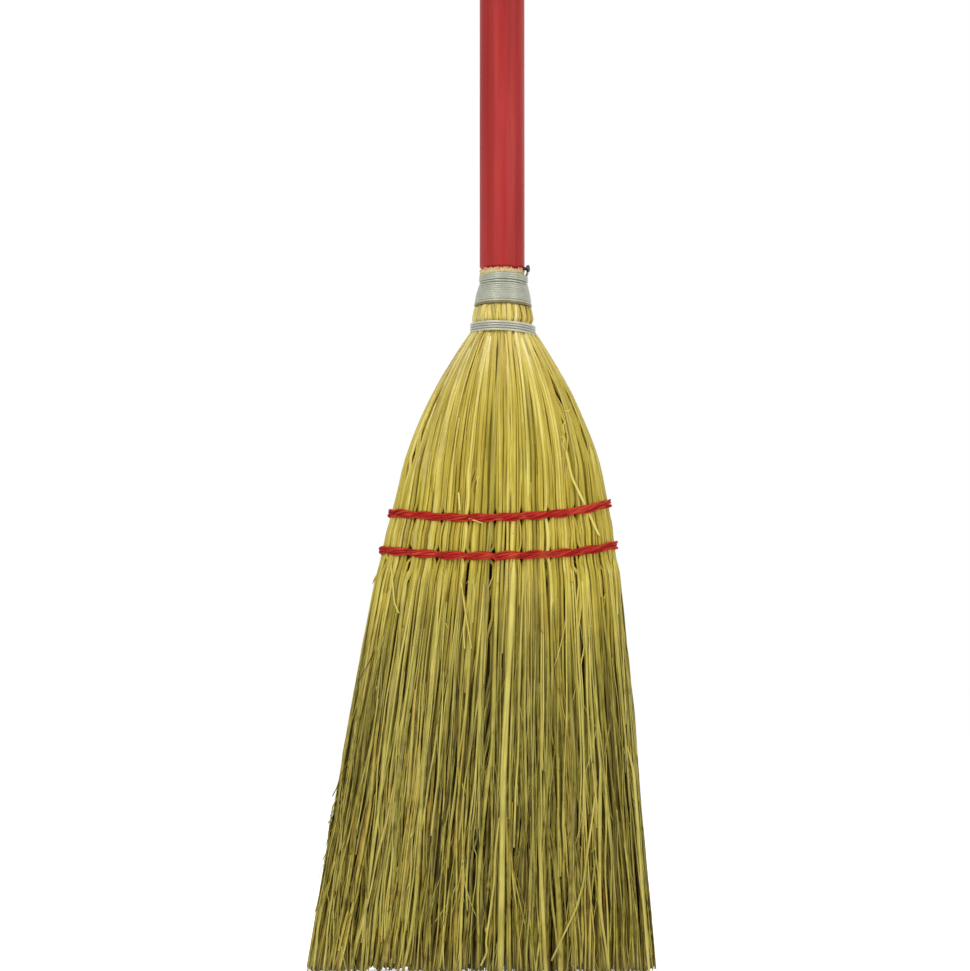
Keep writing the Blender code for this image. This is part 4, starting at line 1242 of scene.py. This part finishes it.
def frayed_material():
    """Cut fibre ends: greenish at the wire, cream above it, and reddened by the lacquer at their tops."""
    made, tree, shader = new_material("frayed_ends_look")
    place = place_on_broom(tree)
    rise = map_range(tree, axis_of(tree, place, "Z"), UPPER_TOP - WIRE_RADIUS, TRIM_TOP)
    patches = add_noise(tree, place, 400, 2)
    colour = add_ramp(tree, shifted(tree, rise, patches, 0.45), FRAYED_STOPS)
    shade = map_range(tree, add_reading(tree, "tone"), 0.75, 0.2, 0, 0.5)
    colour = add_mix(tree, shade, colour, FRAYED_SHADE)
    fill(tree, shader, Base_Color=colour, Roughness=0.7, Specular_IOR_Level=DRY_SPECULAR)
    add_bump(tree, shader, patches, 0.3, 0.0001)
    return made


def lacquer_material():
    """Red lacquer brushed along the dowel, with darker runs, a thicker run down its left and a few darker
    blots.
    """
    made, tree, shader = new_material("handle_lacquer_look")
    place = place_on_broom(tree)
    runs, blots = add_noise(tree, place, *LACQUER_RUNS), add_noise(tree, place, *LACQUER_BLOTS)
    across = map_range(tree, axis_of(tree, place, "X"), -HANDLE_RADIUS, HANDLE_RADIUS)
    colour = add_ramp(tree, runs, LACQUER_STOPS)
    colour = add_mix(tree, add_ramp(tree, across, THICK_RUN), colour, THICK_LACQUER)
    colour = add_mix(tree, map_range(tree, blots, 0.55, 0.75, 0, 0.35), colour, BLOT_LACQUER)
    roughness = map_range(tree, runs, 0.3, 0.7, 0.50, 0.36)
    fill(tree, shader, Base_Color=colour, Roughness=roughness, Specular_IOR_Level=0.22)
    add_bump(tree, shader, runs, 0.25, 0.0002)
    return made


def wire_material():
    """Galvanised wire: dull zinc with a spangle and a yellowish film, tinted turn by turn at its start, one
    turn with painted shadow.
    """
    made, tree, shader = new_material("galvanised_wire_look")
    place = place_on_broom(tree)
    spangle, film = add_noise(tree, place, 500, 2), add_noise(tree, place, 120, 2, (1, 1, 2))
    run = map_range(tree, axis_of(tree, place_on_strand(tree), "Y"), 0, WIRE_RUN)
    zinc = add_ramp(tree, spangle, ZINC_STOPS)
    colour = add_mix(tree, map_range(tree, film, 0.4, 0.7, 0, 0.4), zinc, ZINC_FILM)
    # Turns tinted by their place along the wire; the upper winding's lowest turn painted dark as shadow
    colour = add_mix(tree, add_ramp(tree, run, WIRE_TURN_TINT_AND_SHADOW_SHARES), colour, add_ramp(tree, run, WIRE_TURN_TINTS_AND_SHADOW))
    roughness = map_range(tree, spangle, 0.3, 0.7, 0.38, 0.32)
    fill(tree, shader, Base_Color=colour, Roughness=roughness, Metallic=0.35)
    add_bump(tree, shader, spangle, 0.04, 0.0001)
    return made


def twine_material():
    """Red cotton twine: fine fibres along each ply, with paler patches of wear and painted highlight."""
    made, tree, shader = new_material("red_twine_look")
    fibres = add_noise(tree, place_on_strand(tree), *TWINE_FIBRES)
    # Paler patches at random: part wear, part painted highlight
    worn_and_highlight = map_range(tree, add_noise(tree, place_on_broom(tree), 140, 2), 0.5, 0.72, 0, 0.45)
    colour = add_mix(tree, worn_and_highlight, add_ramp(tree, fibres, TWINE_STOPS), WORN_AND_HIGHLIGHT_TWINE)
    fill(tree, shader, Base_Color=colour, Roughness=0.85, Specular_IOR_Level=DRY_SPECULAR)
    add_bump(tree, shader, fibres, 0.6, 0.00015)
    return made


def steel_material():
    """The nail: dark oxidised steel with bare scratches."""
    made, tree, shader = new_material("nail_steel_look")
    scale = add_noise(tree, place_on_broom(tree), 700, 4)
    roughness = map_range(tree, scale, 0.3, 0.7, 0.6, 0.3)
    fill(tree, shader, Base_Color=add_ramp(tree, scale, STEEL_STOPS), Roughness=roughness, Metallic=0.8)
    return made


def line_strand(points, out, radius, sides):
    """One strand from a list of points, as a record for tubes."""
    points = np.asarray(points, float)[None]
    radii = np.full(points.shape[:2], radius)
    return {
        "points": points,
        "out": np.asarray(out, float)[None],
        "wide": radii,
        "thick": radii,
        "sides": sides,
        "tone": np.array([0.6]),
        "tint": np.array([0.5]),
    }


def coil(heights, radii, start, turns):
    """Points and directions out on a winding, clockwise as seen from above. heights: one a turn."""
    count = max(int(TURN_POINTS * turns), 2)
    turn = np.linspace(0, turns, count)
    angle = start - 2 * math.pi * turn
    height = np.interp(turn, np.linspace(0, turns, len(heights)), heights)
    radius = np.interp(height, radii[0], radii[1])
    out = np.stack((np.cos(angle), np.sin(angle), np.zeros(count)), -1)
    return np.concatenate((out[:, :2] * radius[:, None], height[:, None]), 1), out


def turn_heights(low, high, pitches):
    """The heights of a winding's turns, from the shares of their spacings."""
    return low + (high - low) * np.concatenate(([0], np.cumsum(pitches))) / sum(pitches)


def droop(points):
    """Wire points as pulled: turns hang a little at the sides, and the lower winding leans to the right."""
    across = points[:, 0] / np.hypot(points[:, 0], points[:, 1])
    lean = LOWER_LEAN * (1 - ease((points[:, 2] - LOWER_TOP) / NECK_TUCK))
    up = ease((points[:, 2] - UPPER_BOTTOM) / (UPPER_TOP - UPPER_BOTTOM))
    points[:, 0] += mix(LOWER_OFFSET, TOP_OFFSET, up)
    points[:, 2] -= SIDE_DROOP * across * across + lean * across
    return points


def wire_piece(name, points, out, look):
    """A length of wire that stands for the CAD's wire of that name."""
    wire = line_strand(points, out, WIRE_RADIUS, WIRE_SIDES)
    make_piece(f"{name}_turns", [tubes(wire)], look, "galvanised_wire", name)


def binding():
    """The binding wire: four turns, a lead up behind the neck, fifteen turns and the tail at the nail."""
    radii = (WINDING_HEIGHTS, WINDING_RADII)
    lower_heights = turn_heights(NECK_BOTTOM + LOWER_START, LOWER_TOP - WIRE_RADIUS, LOWER_PITCHES)
    upper_heights = turn_heights(UPPER_BOTTOM + WIRE_RADIUS, UPPER_TOP - WIRE_RADIUS, UPPER_PITCHES)
    upper_start = LEAD_START - 2 * math.pi * LEAD_SWEEP
    tail_heights = (upper_heights[-1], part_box("wire_nail")[1].z - WIRE_DIAMETER)
    tail_radii = (tail_heights, (WINDING_RADII[-1], HANDLE_RADIUS + WIRE_DIAMETER))
    tail_wait = (upper_start - NAIL_AZIMUTH) / (2 * math.pi) % 1 - TAIL_SWEEP
    runs = (
        coil(lower_heights, radii, LEAD_START + 2 * math.pi * LOWER_TURNS, LOWER_TURNS),
        coil((lower_heights[-1], upper_heights[0]), radii, LEAD_START, LEAD_SWEEP),
        coil(upper_heights, radii, upper_start, len(UPPER_PITCHES)),
        coil((upper_heights[-1], upper_heights[-1]), radii, upper_start, tail_wait),
        coil(tail_heights, tail_radii, NAIL_AZIMUTH + 2 * math.pi * TAIL_SWEEP, TAIL_SWEEP),
    )
    points = np.concatenate([runs[0][0]] + [run[0][1:] for run in runs[1:]])
    out = np.concatenate([runs[0][1]] + [run[1][1:] for run in runs[1:]])
    look = wire_material()
    wire_piece("binding_wire", droop(points), out, look)
    low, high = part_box("inner_wire")
    inner_radius = high.x - WIRE_RADIUS
    turns = int((high.z - low.z) / WIRE_DIAMETER - 1)
    level = ((low.z, high.z), (inner_radius, inner_radius))
    wire_piece("inner_wire", *coil((low.z + WIRE_RADIUS, high.z - WIRE_RADIUS), level, 0, turns), look)


def plies(points, out, phase):
    """Two plies twisted round a line, each a strand of its own."""
    steps = np.linalg.norm(np.diff(points, axis=0), axis=1)
    length = np.concatenate(([0], np.cumsum(steps)))
    even = np.arange(0, length[-1], PLY_STEP)
    line = np.stack([np.interp(even, length, axis) for axis in points.T], -1)
    face = unit(np.stack([np.interp(even, length, axis) for axis in out.T], -1))
    along = unit(np.gradient(line, axis=0))
    across = unit(np.cross(along, face))
    angle = 2 * math.pi * even / PLY_LAY + phase
    made = []
    for turn in (0, math.pi):
        shift = np.cos(angle + turn)[:, None] * across + np.sin(angle + turn)[:, None] * face
        made.append(tubes(line_strand(line + shift * PLY_RADIUS, face, PLY_RADIUS, PLY_SIDES)))
    return made


def row_line(row, lift):
    """A twine line right round the head in a row, beside its fellow."""
    share = np.linspace(-0.5, 0.5, ROW_POINTS)
    level = np.full_like(share, row)
    inset = gathered(share, np.zeros_like(share), level)[1]
    points, out = on_rim(level, share, inset - (ROW_PROUD + LIFT_PROUD * abs(lift)) * PLY_RADIUS)
    place, held = lock_place(share)
    lens = np.where(held, np.abs(np.sin(math.pi * place)), EDGE_LENS)
    points[:, 2] += lift * TWINE_SPREAD * mix(*TWINE_LENS, lens)
    return points, out


def stitch_line(row, lock, front):
    """A stitch over one lock, from low on its left to high on its right, diving in at both ends."""
    t = np.linspace(0, 1, STITCH_POINTS)
    share = (lock + t - STITCHED_LOCKS / 2 - LOCK_SHIFT) * LOCK_SHARE + (0 if front else 0.5)
    level = np.full_like(share, row)
    inset = gathered(share, np.zeros_like(share), level)[1]
    dive = STITCH_DEPTH * (1 - np.sin(math.pi * t) ** STITCH_BEND)
    points, out = on_rim(level, share, inset + dive - STITCH_PROUD * PLY_RADIUS)
    points[:, 2] += mix(-STITCH_RISE / 2, STITCH_RISE / 2, ease(t))
    return points, out


def twine_row(name, row, look):
    """A row of stitches: the twine laid round the head, and the stitches over it."""
    wrap = [ply for lift, phase in ROW_LINES for ply in plies(*row_line(row, lift), phase)]
    make_piece(f"{name}_row_twine", wrap, look, "red_twine", f"{name}_twine_wrap")
    stitches = []
    for front in (True, False):
        for lock in range(STITCHED_LOCKS):
            stitches += plies(*stitch_line(row, lock, front), STITCH_PHASE * lock)
    if name == "lower":
        stitches.append(tubes(line_strand(*front_line(LOOSE_END), PLY_RADIUS / 2, PLY_SIDES)))
    make_piece(f"{name}_row_stitches", stitches, look, "red_twine", f"{name}_twine_stitches")


def cover_places(family):
    """Which of a family's straws stand for each bunch of the cover."""
    place, share = face_place(family["place"]), wrapped(family["place"])
    held, front = np.abs(place) < FRONT_LOCKS / 2, np.abs(share) < 0.25
    lock = np.clip(np.floor(place + FRONT_LOCKS / 2), 0, FRONT_LOCKS - 1)
    chosen = {}
    for index in range(FRONT_LOCKS):
        chosen[f"front_{index + 1}"] = held & front & (lock == index)
        chosen[f"back_{FRONT_LOCKS - index}"] = held & ~front & (lock == index)
    return chosen | {"left_edge": ~held & (share < 0), "right_edge": ~held & (share >= 0)}


def cover_pieces():
    """The straw of the cover, sorted into the pieces that stand for its bunches, and its cut ends."""
    look = straw_material("cover_straw_look", NECK_STOPS, GOLDEN_STOPS, OLIVE_STOPS)
    fine = branches()
    families = [stalks(), under_stalks(), fine, fine_straws(), sprigs(fine), husks(fine), curls(), strays()]
    places = [cover_places(family) for family in families]
    for name in places[0]:
        groups = [picked(family, chosen[name]) for family, chosen in zip(families, places)]
        parts = [tubes(group) for group in groups if len(group["tone"])]
        make_piece(f"straws_{name}", parts, look, "cover_straw", f"cover_{name}")
    make_piece("frayed_cover_ends", [tubes(trimmed_ends())], frayed_material(), "cover_straw")


def inner_pieces():
    """The straw inside the cover, sorted into the core and the two shoulders."""
    # Inner straw colours: painted shade
    look = straw_material("inner_straw_painted_shade_look", INNER_PAINTED_SHADE_STOPS, INNER_PAINTED_SHADE_STOPS, INNER_PAINTED_SHADE_STOPS)
    family = inner_straws()
    share = wrapped(family["place"])
    core = np.minimum(np.abs(share), 0.5 - np.abs(share)) < CORE_SHARE
    for name, chosen in (
        ("core", core),
        ("left_shoulder", ~core & (share < 0)),
        ("right_shoulder", ~core & (share >= 0)),
    ):
        make_piece(f"straws_{name}", [tubes(picked(family, chosen))], look, "inner_straw", f"{name}_bundle")


def dress(name, look):
    """Gives a CAD node that is shown as it is a look."""
    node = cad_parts[name]
    node.data.materials.clear()
    node.data.materials.append(look)


def add_camera():
    """The camera at the photograph's view."""
    data = bpy.data.cameras.new("camera")
    data.sensor_fit = "HORIZONTAL"
    data.sensor_width = SENSOR_WIDTH
    data.lens = LENS
    data.clip_end = CAMERA_REACH
    camera = add_object("camera", data)
    camera.location = (CAMERA_OFFSET, -CAMERA_DISTANCE, CAMERA_HEIGHT)
    camera.rotation_euler = (math.pi / 2 + CAMERA_TILT, 0, 0)
    bpy.context.scene.camera = camera


def add_light(name, place, size, power):
    """A round studio light that faces the broom."""
    data = bpy.data.lights.new(name, "AREA")
    data.shape = "DISK"
    data.size = size
    data.energy = power
    light = add_object(name, data)
    light.location = place
    light.rotation_euler = (Vector(LIGHT_TARGET) - Vector(place)).to_track_quat("-Z", "Y").to_euler()


def white_for_the_camera(tree, lit, white):
    """The lit shader, or plain white where the camera, a reflection or glass looks straight at it."""
    path = tree.nodes.new("ShaderNodeLightPath").outputs
    seen = add_math(tree, "MAXIMUM", path["Is Camera Ray"], path["Is Glossy Ray"])
    seen = add_math(tree, "MAXIMUM", seen, path["Is Transmission Ray"])
    return add_node(tree, "ShaderNodeMixShader", seen, lit, white).outputs[0]


def add_world():
    """Soft light from all round, and white behind the broom."""
    world = bpy.data.worlds.new("studio")
    world.use_nodes = True
    tree = world.node_tree
    soft = fill(tree, tree.nodes["Background"], Color=SKY, Strength=SKY_STRENGTH)
    white = add_node(tree, "ShaderNodeBackground", Color=WHITE, Strength=1)
    shown = white_for_the_camera(tree, soft.outputs[0], white.outputs[0])
    fill(tree, tree.nodes["World Output"], Surface=shown)
    bpy.context.scene.world = world


def add_floor():
    """A pale floor that reads white round the broom and keeps its soft shadow."""
    made, tree, shader = new_material("floor_look")
    fill(tree, shader, Base_Color=FLOOR_COLOUR, Roughness=0.9)
    glow = add_node(tree, "ShaderNodeEmission", Color=WHITE, Strength=FLOOR_GLOW)
    both = add_node(tree, "ShaderNodeAddShader", shader.outputs[0], glow.outputs[0])
    shown = white_for_the_camera(tree, shader.outputs[0], both.outputs[0])
    fill(tree, tree.nodes["Material Output"], Surface=shown)
    mesh = bpy.data.meshes.new("floor")
    corners = [(x * FLOOR_REACH, y * FLOOR_REACH, 0) for x, y in ((-1, -1), (1, -1), (1, 1), (-1, 1))]
    mesh.from_pydata(corners, [], [(0, 1, 2, 3)])
    mesh.materials.append(made)
    floor = add_object("floor", mesh)


add_camera()
dress("handle", lacquer_material())
dress("wire_nail", steel_material())
cover_pieces()
inner_pieces()
binding()
twine_look = twine_material()
twine_row("upper", UPPER_ROW, twine_look)
twine_row("lower", LOWER_ROW, twine_look)
add_floor()
add_world()
for light in LIGHTS:
    add_light(*light)
bpy.context.scene.view_settings.view_transform = "Standard"
